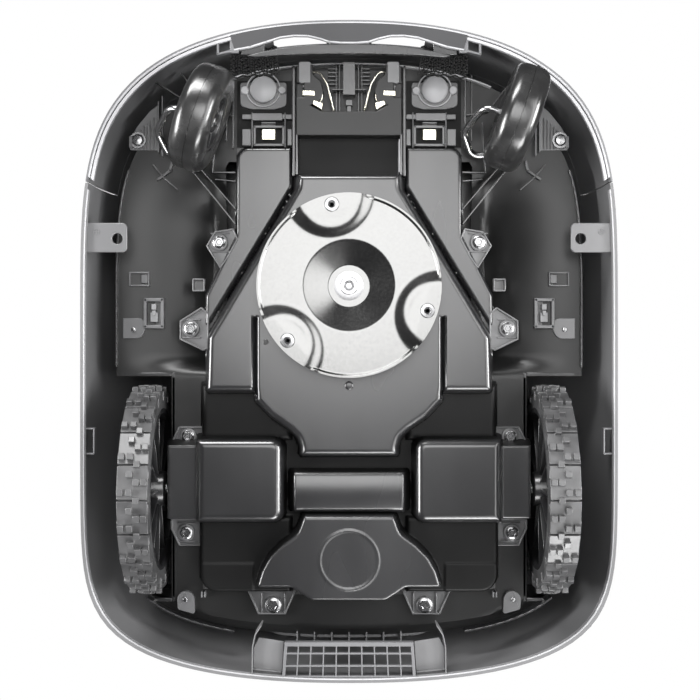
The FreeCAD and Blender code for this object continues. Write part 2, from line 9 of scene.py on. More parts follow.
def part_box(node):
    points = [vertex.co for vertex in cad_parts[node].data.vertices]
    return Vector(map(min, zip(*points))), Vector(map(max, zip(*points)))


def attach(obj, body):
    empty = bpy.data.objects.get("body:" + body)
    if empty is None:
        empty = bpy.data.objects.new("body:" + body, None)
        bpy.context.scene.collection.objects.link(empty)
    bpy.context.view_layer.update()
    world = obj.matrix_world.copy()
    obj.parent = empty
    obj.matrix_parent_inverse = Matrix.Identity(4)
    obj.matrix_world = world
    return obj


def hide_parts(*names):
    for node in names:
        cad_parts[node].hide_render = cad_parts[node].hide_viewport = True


# Robotic lawn mower seen from below. Lengths are millimetres until a mesh is made (MM).
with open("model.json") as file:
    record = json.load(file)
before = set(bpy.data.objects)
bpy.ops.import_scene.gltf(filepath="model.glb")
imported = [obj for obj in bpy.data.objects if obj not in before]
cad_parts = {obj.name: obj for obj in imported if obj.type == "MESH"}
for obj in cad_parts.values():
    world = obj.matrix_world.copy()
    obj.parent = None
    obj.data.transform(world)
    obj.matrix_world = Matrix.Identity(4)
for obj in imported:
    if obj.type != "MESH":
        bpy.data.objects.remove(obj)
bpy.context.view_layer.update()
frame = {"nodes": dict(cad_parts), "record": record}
MM = 0.001


def node_box(node):
    """Lowest and highest corner of a CAD node, in millimetres."""
    low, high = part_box(node)
    return np.array(low) / MM, np.array(high) / MM


# ---- materials
def put(node, values):
    """Sets inputs of a node by name."""
    for name, value in values.items():
        node.inputs[name].default_value = value


def new_material(name, colour, roughness, metallic=0.0):
    mat = bpy.data.materials.new(name)
    mat.use_nodes = True
    shader = mat.node_tree.nodes["Principled BSDF"]
    put(shader, {"Base Color": (*colour, 1.0), "Roughness": roughness, "Metallic": metallic,
                 "Specular IOR Level": 0.5 if metallic else 1.0,
                 "Coat Weight": 0.0 if metallic else 0.5, "Coat Roughness": 0.3})
    return mat, mat.node_tree.nodes, mat.node_tree.links, shader


def noise_node(nodes, links, scale, detail=2.0, stretch=(1, 1, 1)):
    coords = nodes.new("ShaderNodeTexCoord")
    mapping = nodes.new("ShaderNodeMapping")
    put(mapping, {"Scale": stretch})
    texture = nodes.new("ShaderNodeTexNoise")
    put(texture, {"Scale": scale, "Detail": detail})
    links.new(coords.outputs["Object"], mapping.inputs["Vector"])
    links.new(mapping.outputs["Vector"], texture.inputs["Vector"])
    return texture.outputs["Fac"]


def vary(nodes, links, source, target, low, high):
    """Spreads a 0-1 pattern over a number range, or over two colours, and plugs it in."""
    if isinstance(low, tuple):
        ramp = nodes.new("ShaderNodeValToRGB")
        for stop, position, colour in zip(ramp.color_ramp.elements, (0.3, 0.7), (low, high)):
            stop.position = position
            stop.color = (*colour, 1.0)
        links.new(source, ramp.inputs["Fac"])
        links.new(ramp.outputs["Color"], target)
        return
    span = nodes.new("ShaderNodeMapRange")
    put(span, {"From Min": 0.3, "From Max": 0.7, "To Min": low, "To Max": high})
    links.new(source, span.inputs["Value"])
    links.new(span.outputs["Result"], target)


def bump(nodes, links, shader, source, strength, distance):
    node = nodes.new("ShaderNodeBump")
    put(node, {"Strength": strength, "Distance": distance})
    links.new(source, node.inputs["Height"])
    links.new(node.outputs["Normal"], shader.inputs["Normal"])


def moulded(name, colour, roughness, grain=0.15, tint=0.25, shine=1.0):
    """Moulded plastic: fine eroded grain, faint flow marks in gloss and shade."""
    mat, nodes, links, shader = new_material(name, colour, roughness)
    put(shader, {"Specular IOR Level": shine, "Coat Weight": 0.5 if shine == 1.0 else 0.0})
    flow = noise_node(nodes, links, 9.0, 3.0, (1.0, 0.35, 1.0))
    dark = tuple(c * (1 - tint) for c in colour)
    light = tuple(c * (1 + tint) for c in colour)
    vary(nodes, links, flow, shader.inputs["Base Color"], dark, light)
    vary(nodes, links, flow, shader.inputs["Roughness"], roughness - 0.05, roughness + 0.06)
    bump(nodes, links, shader, noise_node(nodes, links, 1400.0, 2.0), grain, 0.0002)
    return mat


def metal(name, colour, roughness, marks=0.2, scale=160.0):
    """Plated or turned metal with fine marks in its gloss."""
    mat, nodes, links, shader = new_material(name, colour, roughness, 1.0)
    fine = noise_node(nodes, links, scale, 4.0)
    vary(nodes, links, fine, shader.inputs["Roughness"], roughness * 0.9, roughness * 1.12)
    bump(nodes, links, shader, fine, marks, 0.0002)
    return mat


def rubber(name, colour, roughness):
    """Tyre rubber: matt, faintly dusty, with a pebbled skin."""
    mat, nodes, links, shader = new_material(name, colour, roughness)
    dust = noise_node(nodes, links, 40.0, 5.0)
    light = tuple(c * 1.9 + 0.004 for c in colour)
    vary(nodes, links, dust, shader.inputs["Base Color"], colour, light)
    vary(nodes, links, dust, shader.inputs["Roughness"], roughness - 0.08, roughness + 0.1)
    bump(nodes, links, shader, noise_node(nodes, links, 900.0, 3.0), 0.3, 0.0003)
    return mat


# colour, roughness, then grain, tint and shine where they differ from the usual
PLASTICS = {
    "black_plastic": ((0.016, 0.016, 0.017), 0.25),
    "satin_plastic": ((0.014, 0.014, 0.014), 0.34, 0.15, 0.25, 0.5),
    # darkest black; in the belly recesses and the latch bay its darkness is painted shade
    "matte_plastic": ((0.006, 0.006, 0.006), 0.45, 0.3, 0.25, 0.22),
    # near-black that stands in for the shade inside a hole: painted shade
    "hole_black": ((0.002, 0.002, 0.002), 0.6),
    "cover_plastic": ((0.15, 0.15, 0.153), 0.46, 0.15, 0.05, 0.45),
    "lug_plastic": ((0.1, 0.1, 0.103), 0.38),
    "bumper_plastic": ((0.10, 0.10, 0.105), 0.42),
    "lip_plastic": ((0.05, 0.05, 0.052), 0.5, 0.15, 0.1, 0.3),
    "gray_plastic": ((0.22, 0.22, 0.225), 0.45),
    "grille_plastic": ((0.15, 0.15, 0.155), 0.42, 0.15, 0.1, 0.6),
    # pale grey that paints the lamps' reflection on rim faces, the lip bead and edge strips, a painted
    # highlight; the float caps wear it too
    "rim_plastic": ((0.36, 0.36, 0.37), 0.4),
    "red_plastic": ((0.5, 0.02, 0.015), 0.3),
    "board_green": ((0.02, 0.12, 0.05), 0.4),
    "battery_blue": ((0.03, 0.06, 0.2), 0.35),
    "display_glass": ((0.02, 0.03, 0.03), 0.08),
}
RUBBERS = {
    "caster_rubber": ((0.012, 0.012, 0.012), 0.24),
    "tyre_rubber": ((0.04, 0.04, 0.041), 0.4),
    "soft_rubber": ((0.03, 0.03, 0.03), 0.6),
}
METALS = {
    "bright_steel": ((0.4, 0.4, 0.405), 0.24),
    "polished_steel": ((0.225, 0.225, 0.222), 0.2, 0.03, 420.0),
    "motor_metal": ((0.5, 0.5, 0.51), 0.4),
    "contact_brass": ((0.85, 0.82, 0.72), 0.25),
}
MATERIALS = {name: moulded(name, *look) for name, look in PLASTICS.items()}
MATERIALS.update({name: rubber(name, *look) for name, look in RUBBERS.items()})
MATERIALS.update({name: metal(name, *look) for name, look in METALS.items()})
# every CAD part gets the look of its slot in the record
for part in frame["record"]["subparts"]:
    cad_mesh = frame["nodes"][part["node"]].data
    cad_mesh.materials.clear()
    cad_mesh.materials.append(MATERIALS[part["material_slot"]])


# ---- mesh helpers
def outward_mesh(name, points, faces):
    """Mesh from millimetre points, with every face turned outward."""
    mesh = bpy.data.meshes.new(name)
    mesh.from_pydata([tuple(float(c) * MM for c in p) for p in points], [], faces)
    mesh.validate()
    shape = bmesh.new()
    shape.from_mesh(mesh)
    bmesh.ops.recalc_face_normals(shape, faces=shape.faces)
    shape.to_mesh(mesh)
    shape.free()
    return mesh


def piece(name, points, faces, material, body, smooth=35.0, bevel=0.0, replaces=()):
    """Mesh object from millimetre points, with its material, its body and what it stands for."""
    return finish_piece(outward_mesh(name, points, faces), name, material, body, smooth, bevel, replaces)


def new_object(name, data):
    obj = bpy.data.objects.new(name, data)
    bpy.context.collection.objects.link(obj)
    return obj


def finish_piece(mesh, name, material, body, smooth, bevel, replaces):
    obj = new_object(name, mesh)
    mesh.materials.append(MATERIALS[material])
    if bevel:
        modifier = obj.modifiers.new("edges", "BEVEL")
        modifier.width = bevel * MM
        modifier.segments = 2
        modifier.limit_method = "ANGLE"
        modifier.angle_limit = math.radians(30)
    mesh.set_sharp_from_angle(angle=math.radians(smooth + (25 if bevel else 0)))
    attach(obj, body)
    if replaces:
        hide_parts(*replaces)
    return obj


def merge(*shapes):
    """Several (points, faces) shapes as one."""
    points, faces = [], []
    for shape_points, shape_faces in shapes:
        start = len(points)
        points += [tuple(p) for p in shape_points]
        faces += [tuple(i + start for i in face) for face in shape_faces]
    return points, faces


def blocks(*sides):
    return merge(*[block(*limits) for limits in sides])


def mirrored(shape):
    points, faces = shape
    return [(-x, y, z) for x, y, z in points], [tuple(reversed(face)) for face in faces]


def moved(shape, matrix):
    points, faces = shape
    return [tuple(matrix @ Vector(p)) for p in points], faces


def extrude(outline, z0, z1):
    """Prism over a closed plan outline listed anticlockwise."""
    count = len(outline)
    points = [(x, y, z0) for x, y in outline] + [(x, y, z1) for x, y in outline]
    faces = [tuple(reversed(range(count))), tuple(range(count, 2 * count))]
    for i in range(count):
        j = (i + 1) % count
        faces.append((i, j, j + count, i + count))
    return points, faces


def block(x0, x1, y0, y1, z0, z1):
    return extrude([(x0, y0), (x1, y0), (x1, y1), (x0, y1)], z0, z1)


def around(count):
    return np.linspace(0, 2 * math.pi, count, endpoint=False)


def joined_rows(rows, closed=True):
    """Surface through rows of points, the last row joined back to the first."""
    count = len(rows[0])
    faces = []
    for k in range(len(rows)):
        a, b = k * count, (k + 1) % len(rows) * count
        for i in range(count if closed else count - 1):
            j = (i + 1) % count
            faces.append((a + i, b + i, b + j, a + j))
    return [tuple(p) for row in rows for p in row], faces


def capped_rows(rows):
    """Surface through rings of points, with a flat cap on the first and the last."""
    points, faces = joined_rows(rows)
    count = len(rows[0])
    last = len(points) - count
    return points, faces[:-count] + [tuple(range(count)), tuple(reversed(range(last, last + count)))]


def lathe(profile, segments=48, closed=False):
    """Turns (radius, height) points about the z axis."""
    angles = [2 * math.pi * i / segments for i in range(segments)]
    return joined_rows([[(r * math.cos(a), r * math.sin(a), z) for r, z in profile] for a in angles], closed)


def drum(radius, z0, z1, segments):
    return lathe([(0.001, z0), (radius, z0), (radius, z1), (0.001, z1)], segments)


def ring(inner, outer, z0, z1, segments):
    return lathe([(inner, z0), (outer, z0), (outer, z1), (inner, z1)], segments, True)


def rounded(points, radii, segments=6):
    """Plan outline with each corner replaced by a tangent arc of its own radius."""
    result = []
    for i, corner in enumerate(points):
        corner = np.array(corner, float)
        radius = radii[i] if isinstance(radii, (list, tuple)) else radii
        back = np.array(points[i - 1], float) - corner
        ahead = np.array(points[(i + 1) % len(points)], float) - corner
        back, ahead = back / np.linalg.norm(back), ahead / np.linalg.norm(ahead)
        half = math.acos(np.clip(back @ ahead, -1, 1)) / 2
        if radius <= 0 or half > 1.56:
            result.append(tuple(corner))
            continue
        bisector = (back + ahead) / np.linalg.norm(back + ahead)
        centre = corner + bisector * radius / math.sin(half)
        start = corner + back * radius / math.tan(half) - centre
        end = corner + ahead * radius / math.tan(half) - centre
        first = math.atan2(start[1], start[0])
        turn = (math.atan2(end[1], end[0]) - first + math.pi) % (2 * math.pi) - math.pi
        for k in range(segments + 1):
            angle = first + turn * k / segments
            result.append((centre[0] + radius * math.cos(angle), centre[1] + radius * math.sin(angle)))
    return result


def inside_distance(x, y, outline):
    """Signed distance to a closed outline, positive inside, for arrays of points."""
    best = np.full(x.shape, 1e9)
    inside = np.zeros(x.shape, bool)
    count = len(outline)
    for i in range(count):
        x0, y0 = outline[i]
        x1, y1 = outline[(i + 1) % count]
        dx, dy = x1 - x0, y1 - y0
        along = np.clip(((x - x0) * dx + (y - y0) * dy) / (dx * dx + dy * dy + 1e-9), 0, 1)
        best = np.minimum(best, np.hypot(x - x0 - along * dx, y - y0 - along * dy))
        if dy:
            crosses = ((y0 > y) != (y1 > y)) & (x < x0 + dx * (y - y0) / dy)
            inside ^= crosses
    return np.where(inside, best, -best)


# ---- belly relief: every step of the underside as a rounded pad
BELLY_BASE, GRID = 119.0, 1.25
DECK_HOLE_R = 45.5
DISC_LOW, DISC_HIGH = node_box("blade_disc")
DISC_Y = (DISC_LOW[1] + DISC_HIGH[1]) / 2
WALL_SLOPE = 7.0
plate = rounded([(-20, -180.4), (52, -180.4), (52.5, -167), (143.8, -14.7), (145.5, 41), (96, 41),
                 (95.5, 50), (80.5, 66), (61, 79.5), (52, 88), (49, 98), (49, 106), (-20, 106)],
                [0, 1, 14, 10, 3, 1, 4, 14, 14, 14, 8, 2, 0])
flank = rounded([(60, -214), (118, -214), (118.5, -123), (150.5, -59), (151.5, -22), (60, -173)],
                [0, 12, 8, 10, 2, 8])
step = [(60, 34), (153, 34), (153, 92), (60, 92)]
drive_box = rounded([(68, 89.5), (157, 89.5), (157, 175.5), (68, 175.5)], [11, 1, 1, 11])
drive_cap = [(150, 96), (187, 96), (187, 172), (150, 172)]
valley = [(-20, 84), (76, 84), (76, 186), (-20, 186)]
plateau = rounded([(-20, 168.4), (46, 168.4), (52.5, 186), (69, 198), (81.5, 210.5), (89.3, 224.6),
                   (94, 240), (92, 241.5), (58, 241.6), (49, 248), (38, 255), (-20, 255)],
                  [0, 3, 16, 14, 16, 20, 1, 1, 9, 8, 9, 0])
shelf = rounded([(60, 172), (155, 172), (155, 250), (60, 250)], [0, 1, 18, 0])
belly_pads = [(plate, 73.0, 6.0), (flank, 113.0, 3.0), (step, 98.0, 6.0), (drive_box, 80.0, 8.5),
              (drive_cap, 86.0, 2.0), (valley, 108.0, 3.0), (plateau, 80.0, 3.0), (shelf, 100.0, 4.0)]


def pad_surface(distance, level, radius):
    """Height of a pad's underside: flat, a rounded edge, then a steep wall going up."""
    rim = np.clip(radius - distance, 0, radius)
    edge = radius - np.sqrt(np.maximum(radius ** 2 - rim ** 2, 0))
    return level + edge + np.maximum(-distance, 0) * WALL_SLOPE


def belly_surface(x, y):
    x = np.abs(x)
    height = np.full(x.shape, 200.0)
    for outline, level, radius in belly_pads:
        height = np.minimum(height, pad_surface(inside_distance(x, y, outline), level, radius))
    across = (y - 144) / 22
    tube = 84 + 3 * across ** 2 + 8 * across ** 16 + np.maximum(x - 56, 0) * 3
    height = np.minimum(height, np.where(np.abs(across) < 1, tube, 200))
    groove = np.exp(-((x - 95.5) / 1.6) ** 2) * ((y > -36) & (y < 52))
    height += groove * 9 * (height < 76)
    emblem = np.abs(np.hypot(x, y - 213.5) - 30)
    height -= 0.8 * np.clip(1.6 - emblem, 0, 1) * (height < 81)
    crease = np.clip((y - 219) / 1.5, 0, 1) * (x > 99) * (np.abs(height - 100) < 3)
    height -= 1.4 * crease
    return np.minimum(height, BELLY_BASE)


def relief(name, keep, material, replaces=()):
    """Fine mesh of the cells of the belly that keep() chooses from their place and height."""
    xs = np.arange(-190, 190 + GRID / 2, GRID)
    ys = np.arange(-216, 258 + GRID / 2, GRID)
    x, y = np.meshgrid(xs, ys)
    z = belly_surface(x, y)
    solid = z < BELLY_BASE - 0.01
    cell = solid[:-1, :-1] | solid[1:, :-1] | solid[:-1, 1:] | solid[1:, 1:]
    cell &= keep(x[:-1, :-1], y[:-1, :-1], z[:-1, :-1])
    rows, columns = np.nonzero(cell)
    width = len(xs)
    corner = rows * width + columns
    quads = np.stack([corner, corner + width, corner + width + 1, corner + 1], axis=1)
    used, packed = np.unique(quads, return_inverse=True)
    points = np.stack([x.ravel(), y.ravel(), np.minimum(z.ravel(), BELLY_BASE)], axis=1)[used]
    mesh = bpy.data.meshes.new(name)
    mesh.from_pydata((points * MM).tolist(), [], packed.reshape(-1, 4).tolist())
    mesh.validate()
    return finish_piece(mesh, name, material, "chassis", 60.0, 0.0, replaces)


def is_shaded_recess(x, y, z):
    """Low ground between the boxes, which gets a duller plastic whose darker colour is painted shade for
    these deep recesses.
    """
    return (y > 28) & (z > 89)


def is_plate(x, y, z):
    """Everything else but the round hole for the deck, which the disc hides."""
    return ~is_shaded_recess(x, y, z) & (np.hypot(x, y - DISC_Y) > DECK_HOLE_R)


relief("belly_plates", is_plate, "black_plastic", ["belly_housing"])
# the recesses get the darkest matte black: painted shade in the deep ground
relief("belly_recesses", is_shaded_recess, "matte_plastic")


# ---- small builders used by many pieces
def strip(path, width, z0, z1, closed=False):
    """Upright wall of even width along a plan path."""
    shapes = []
    count = len(path)
    for i in range(count if closed else count - 1):
        a, b = np.array(path[i], float), np.array(path[(i + 1) % count], float)
        along = (b - a) / np.linalg.norm(b - a)
        side = np.array([-along[1], along[0]]) * width / 2
        a, b = a - along * width * 0.35, b + along * width * 0.35
        shapes.append(extrude([tuple(a - side), tuple(b - side), tuple(b + side), tuple(a + side)], z0, z1))
    return merge(*shapes)


def at(shape, x, y, z=0.0):
    points, faces = shape
    return [(px + x, py + y, pz + z) for px, py, pz in points], faces


def both(shape):
    return merge(shape, mirrored(shape))


def pair(name, shape, material, bevel=0.0, replaces=(), body="chassis"):
    """One piece from a right-hand shape and its mirror image."""
    return piece(name, *both(shape), material, body, 40, bevel, replaces)


def tube(path, radius, sides=12):
    """Round rod along 3-D points, closed at its ends."""
    path = [Vector(p) for p in path]
    side = (path[1] - path[0]).normalized().orthogonal().normalized()
    rows = []
    for i, centre in enumerate(path):
        ahead = (path[min(i + 1, len(path) - 1)] - path[max(i - 1, 0)]).normalized()
        side = (side - ahead * side.dot(ahead)).normalized()
        up = ahead.cross(side)
        rows.append([centre + (side * math.cos(a) + up * math.sin(a)) * radius for a in around(sides)])
    return capped_rows(rows)


def disc_head(radius, z_low, z_high, round_edge=0.8):
    """Round head hanging down from z_high, with a rounded lower edge."""
    steps = [(radius - round_edge * (1 - math.sin(a)), z_low + round_edge * (1 - math.cos(a)))
             for a in np.linspace(0, math.pi / 2, 5)]
    return lathe([(0.001, z_low)] + steps + [(radius, z_high), (0.001, z_high)], 40)


def hex_screw(x, y, seat, size, flange):
    """Flange screw from below: domed flange, chamfered hexagon and a round dimple."""
    parts = [lathe([(0.001, seat - 1.9), (flange * 0.62, seat - 1.9), (flange, seat - 0.7),
                    (flange, seat), (0.001, seat)], 40)]
    rings = [(0.001, seat - 3.4), (size * 0.5, seat - 3.4), (size * 0.62, seat - 4.5),
             (size * 0.9, seat - 4.5), (size, seat - 3.9), (size, seat - 1.5), (0.001, seat - 1.5)]
    parts.append(lathe(rings, 6))
    parts.append(drum(2.3, seat, seat + 12, 16))
    return at(merge(*parts), x, y)


def cut(obj, cutters, operation="DIFFERENCE"):
    """Exact boolean with closed (points, faces) shapes, applied to the mesh."""
    for shape in cutters:
        tool = raw("cutter", shape)
        modifier = obj.modifiers.new("cut", "BOOLEAN")
        modifier.operation = operation
        modifier.solver = "EXACT"
        modifier.object = tool
        bpy.context.view_layer.update()
        result = bpy.data.meshes.new_from_object(obj.evaluated_get(bpy.context.evaluated_depsgraph_get()))
        obj.modifiers.remove(modifier)
        obj.data = result
        bpy.data.objects.remove(tool)
    return obj


def raw(name, shape):
    """Plain object to cut before it becomes a piece, or to cut with."""
    return new_object(name, outward_mesh(name, *shape))


def adopt(obj, name, material, body, smooth=35.0, bevel=0.0, replaces=()):
    """Turns a cut plain object into a finished piece."""
    mesh = obj.data
    bpy.data.objects.remove(obj)
    mesh.name = name
    mesh.materials.clear()
    return finish_piece(mesh, name, material, body, smooth, bevel, replaces)


# ---- cover: smooth dome, slit of the hand-hole, lugs and rim
HALF_W, HALF_L, RIM_Z, CROWN_Z = 272.5, 336.0, 70.0, 284.0
SEAM_Y, BUMPER_TOP = -171.0, 175.0
SLIT_PITCH = 18.4
dome_knots = [(70, 1.0), (110, 0.998), (135, 0.992), (160, 0.981), (185, 0.96), (205, 0.934),
              (222, 0.902), (238, 0.862), (252, 0.812), (264, 0.748), (273, 0.672),
              (279, 0.59), (282.5, 0.505), (284, 0.42)]


def reach(width, length, angle):
    """Distance from the middle to the superellipse outline along one direction."""
    across, along = np.cos(angle), np.sin(angle)
    power = np.where(along > 0, 8.3, 4.7)
    low, high = np.zeros_like(angle), np.full_like(angle, width + length)
    for _ in range(40):
        middle = (low + high) / 2
        level = np.abs(middle * across / width) ** 2.25 + np.abs(middle * along / length) ** power
        low, high = np.where(level < 1, middle, low), np.where(level < 1, high, middle)
    return low


def plan_outline(inset, scale=1.0, count=192):
    angle = around(count)
    far = reach(np.float64(HALF_W * scale - inset), np.float64(HALF_L * scale - inset), angle)
    return list(zip(far * np.cos(angle), far * np.sin(angle)))


def dome_rings(inset, low_z):
    """Rings of the dome from low_z to the crown, moved in by inset."""
    rings = []
    knots = np.array(dome_knots)
    for z in np.concatenate([np.linspace(low_z, 180, 7), np.linspace(190, CROWN_Z, 15)]):
        scale = np.interp(z, knots[:, 0], knots[:, 1])
        drop = inset * (z - RIM_Z) / (CROWN_Z - RIM_Z)
        rings.append([(x, y, z - drop) for x, y in plan_outline(inset, scale)])
    return rings


def dome_shell(outer, inner, low_z):
    """Closed dome wall between two insets."""
    return capped_rows(dome_rings(inner, low_z)[::-1] + dome_rings(outer, low_z))


def extrude_y(outline, y0, y1):
    """Prism along Y over an outline given as (x, z)."""
    points, faces = extrude(outline, y0, y1)
    return [(x, z, y) for x, y, z in points], [tuple(reversed(face)) for face in faces]


def slit_cutters():
    """The see-through slit over the rear handle: eight windows, the last two curling up."""
    shapes = []
    for i in range(8):
        x0, x1 = SLIT_PITCH * (i - 4) + 0.9, SLIT_PITCH * (i - 3) - 0.9
        x0, x1 = (-99.0 if i == 0 else x0), (99.0 if i == 7 else x1)
        xs = np.linspace(x0, x1, 9 if i in (0, 7) else 3)
        rise = 14 * np.clip((np.abs(xs) - 72) / 27, 0, 1) ** 2
        low = [(float(x), 187.5 + float(r)) for x, r in zip(xs, rise)]
        high = [(float(x), 192.8 + float(r)) for x, r in zip(xs, rise)]
        shapes.append(extrude_y(low + high[::-1], 280, 345))
    return shapes


front_box = block(-300, 300, -400, SEAM_Y, 0, BUMPER_TOP)
shell = raw("shell", dome_shell(0.0, 3.0, RIM_Z))
hatch_gap = extrude(rounded([(-85, -95), (85, -95), (85, 75), (-85, 75)], 12), 260, 300)
stop_well = at(drum(22.1, 269, 300, 48), 0, 108)
stop_bore = at(drum(8.4, 250, 271, 32), 0, 108)
cut(shell, [front_box, hatch_gap])
cut(shell, [at(drum(25, 266.5, 283.2, 48), 0, 108)], "UNION")
cut(shell, [merge(*slit_cutters())])
cut(shell, [stop_well, stop_bore])
adopt(shell, "cover_dome", "cover_plastic", "cover", 32.0, 0.0, ["cover_shell"])


def rim_band(width, z0, z1, front, inset=0.0):
    """Flat ring along the rim, for the bumper in front or for the cover behind the seam."""
    outer, inner = plan_outline(inset + 0.05), plan_outline(inset + width)
    chosen = [i for i, corner in enumerate(outer) if (corner[1] < SEAM_Y) == front]
    start = next((k for k in range(1, len(chosen)) if chosen[k] - chosen[k - 1] != 1), 0)
    chosen = chosen[start:] + chosen[:start]
    run = [outer[i] for i in chosen] + [inner[i] for i in reversed(chosen)]
    points, faces = [], []
    half = len(chosen)
    for x, y in run:
        points += [(x, y, z0), (x, y, z1)]
    for k in range(half - 1):
        a, b = 2 * k, 2 * (k + 1)
        d, c = 2 * (2 * half - 1 - k), 2 * (2 * half - 2 - k)
        faces += [(a, d, c, b), (a + 1, b + 1, c + 1, d + 1), (a, b, b + 1, a + 1), (d, d + 1, c + 1, c)]
    last = 2 * (half - 1)
    faces += [(0, 1, 4 * half - 1, 4 * half - 2), (last, last + 2, last + 3, last + 1)]
    return points, faces


# the pale band on the rim's lower face is a painted reflection of the lamps below
piece("cover_rim", *rim_band(4.2, 70.05, 73.0, False), "rim_plastic", "cover", 50, 0.7)
piece("cover_rim_step", *rim_band(2.2, 73.0, 76.0, False, 3.0), "cover_plastic", "cover", 50, 0.6)

lug_plan = rounded([(226, -131), (270.5, -131), (270.5, -101), (226, -101)], [5, 0, 0, 5])
lug_plate = extrude(lug_plan, 76, 80)
lug_hole = at(drum(5.5, 70, 90, 32), 236, -115)
lugs = raw("lugs", both(lug_plate))
cut(lugs, [both(lug_hole)])
adopt(lugs, "cover_lugs", "lug_plastic", "cover", 40, 0.7, ["side_lugs"])
mark = merge(ring(2.4, 3.4, 75.4, 76.5, 24),
             block(-2.4, 2.4, -0.5, 0.5, 75.4, 76.5), block(-0.5, 0.5, -2.4, 2.4, 75.4, 76.5))
pair("lug_marks", at(mark, 257, -122), "cover_plastic", 0.2, body="cover")
rim_frame = strip([(270, 78.5), (259.5, 78.5), (259.5, 104), (270, 104)], 1.5, 74, 84)
pair("rim_frames", rim_frame, "grille_plastic", 0.3, body="cover")

# ---- front bumper: pale outer skin with a folded lip, dark lining, bar and mesh
front_keep = block(-300, 300, -400, SEAM_Y - 1.2, 0, BUMPER_TOP - 0.6)
windows = blocks((24, 80, -350, -295, 112, 146), (-80, -24, -350, -295, 112, 146))
skin = raw("skin", dome_shell(0.0, 1.7, RIM_Z))
cut(skin, [front_keep], "INTERSECT")
cut(skin, [windows])
adopt(skin, "bumper_skin", "bumper_plastic", "cover", 32.0, 0.0, ["front_bumper"])
lining = raw("lining", dome_shell(1.72, 3.0, 72.0))
cut(lining, [front_keep], "INTERSECT")
cut(lining, [windows])
adopt(lining, "bumper_lining", "cover_plastic", "cover", 32.0)
# the pale rim and fold are a painted reflection of the lamps below on the bumper's lower edge
piece("bumper_rim", *rim_band(3.6, 70.05, 73.2, True), "rim_plastic", "cover", 50, 0.7)
piece("bumper_rim_fold", *rim_band(3.2, 70.6, 76.0, True, 4.3), "rim_plastic", "cover", 50, 0.6)


# inner edge of the lip: two shallow arches
arch = [(116, -306.0), (100, -309.0), (84, -314.0), (70, -318.6), (56, -320.4), (42, -320.2),
        (30, -317.5), (20, -314.2), (8, -313.2)]
arches = arch + [(-x, y) for x, y in reversed(arch)]
lip_front = sorted(p for p in plan_outline(0.3) if p[1] < -200 and abs(p[0]) < 122)
piece("bumper_lip", *extrude(lip_front + arches, 70.1, 72.6), "lip_plastic", "cover", 40, 0.5)
# the pale bead is a painted highlight along the lip's edge
piece("bumper_lip_bead", *strip(arches, 1.6, 70.05, 75), "rim_plastic", "cover", 40, 0.3)
notch = merge(strip([(133, -311), (133, -301.5), (121, -304.5)], 2.2, 70.3, 78),
              block(112, 121, -316, -303, 71, 76))
pair("bumper_notches", notch, "bumper_plastic", 0.4, body="cover")
bar_half = [(0, -312.6), (24, -312.4), (50, -311), (72, -308), (92, -304), (104, -300.5),
            (96, -299), (70, -301.4), (40, -302.6), (0, -303)]
bar_full = bar_half + [(-x, y) for x, y in reversed(bar_half[1:-1])]
ties = both(blocks((0, 20, -334, -311, 74, 81), (86, 110, -322, -302, 76, 81)))
piece("bumper_bow", *merge(extrude(bar_full, 73.2, 81.5), ties), "black_plastic", "cover", 40, 0.8,
      ["bumper_bar"])


def wavy_mesh():
    """Slanting wavy strands crossing straight ones."""
    shapes = []
    for k in range(9):
        y = -311 + 3.4 * k
        path = [(x, y + 0.0875 * (x - 74) + 1.1 * math.sin(x * 0.55 + k)) for x in np.linspace(74, 121, 20)]
        shapes.append(strip(path, 1.3, 79.0, 81.5))
    for k in range(12):
        x = 76 + 4.1 * k
        shapes.append(strip([(x, -312 + 0.3 * (x - 76)), (x - 5, -284)], 1.1, 80.0, 82.5))
    return merge(*shapes)


pair("front_mesh", wavy_mesh(), "matte_plastic", replaces=["front_grilles"], body="cover")

# ---- rear handle: pale square grille between two dished panels
def grille():
    shapes = [strip([(-64, 297.2), (64, 297.2)], 4.2, 71.2, 79)]
    for y in (306.6, 319.2, 330.0):
        edge = 64 + (y - 297) * 0.09
        shapes.append(strip([(-edge, y), (edge, y)], 1.7, 71.6, 77))
    for i in range(11):
        top, low = -64 + 12.8 * i, -66.4 + 13.28 * i
        width = 3.0 if i in (0, 10) else 1.3
        shapes.append(strip([(top, 297), (low, 330.0)], width, 71.4, 77))
    return merge(*shapes)


piece("handle_grille", *grille(), "grille_plastic", "cover", 40, 0.25, ["rear_handle"])


def handle_panel():
    """Dished side panel with an upright rib on its outer edge."""
    floor_plate = extrude([(66.5, 296), (92, 292), (97, 302), (97.5, 328), (69, 331)], 78.5, 81)
    outer_rib = strip([(89.5, 279), (95.5, 288), (98, 300), (98.4, 328.4)], 1.2, 71.5, 98)
    low_rib = strip([(69, 326.0), (98, 323.2)], 1.0, 74, 80)
    return merge(floor_plate, outer_rib, low_rib)


pair("handle_panels", handle_panel(), "cover_plastic", 0.3, body="cover")
hand_ribs = [block(SLIT_PITCH * i - 0.7, SLIT_PITCH * i + 0.7, 292, 313, 130, 196) for i in range(-3, 4)]
piece("hand_ribs", *merge(*hand_ribs), "cover_plastic", "cover", 40, 0.0)


# ---- chassis tub: dished wings, wheel-well walls, rear rib
PAN_SCALE = 0.9
PAN_W, PAN_L, PAN_Z, PAN_TOP = HALF_W * PAN_SCALE, HALF_L * PAN_SCALE, 120.0, 190.0


def ramp(value, start, length):
    t = np.clip((value - start) / length, 0, 1)
    return t * t * (3 - 2 * t)


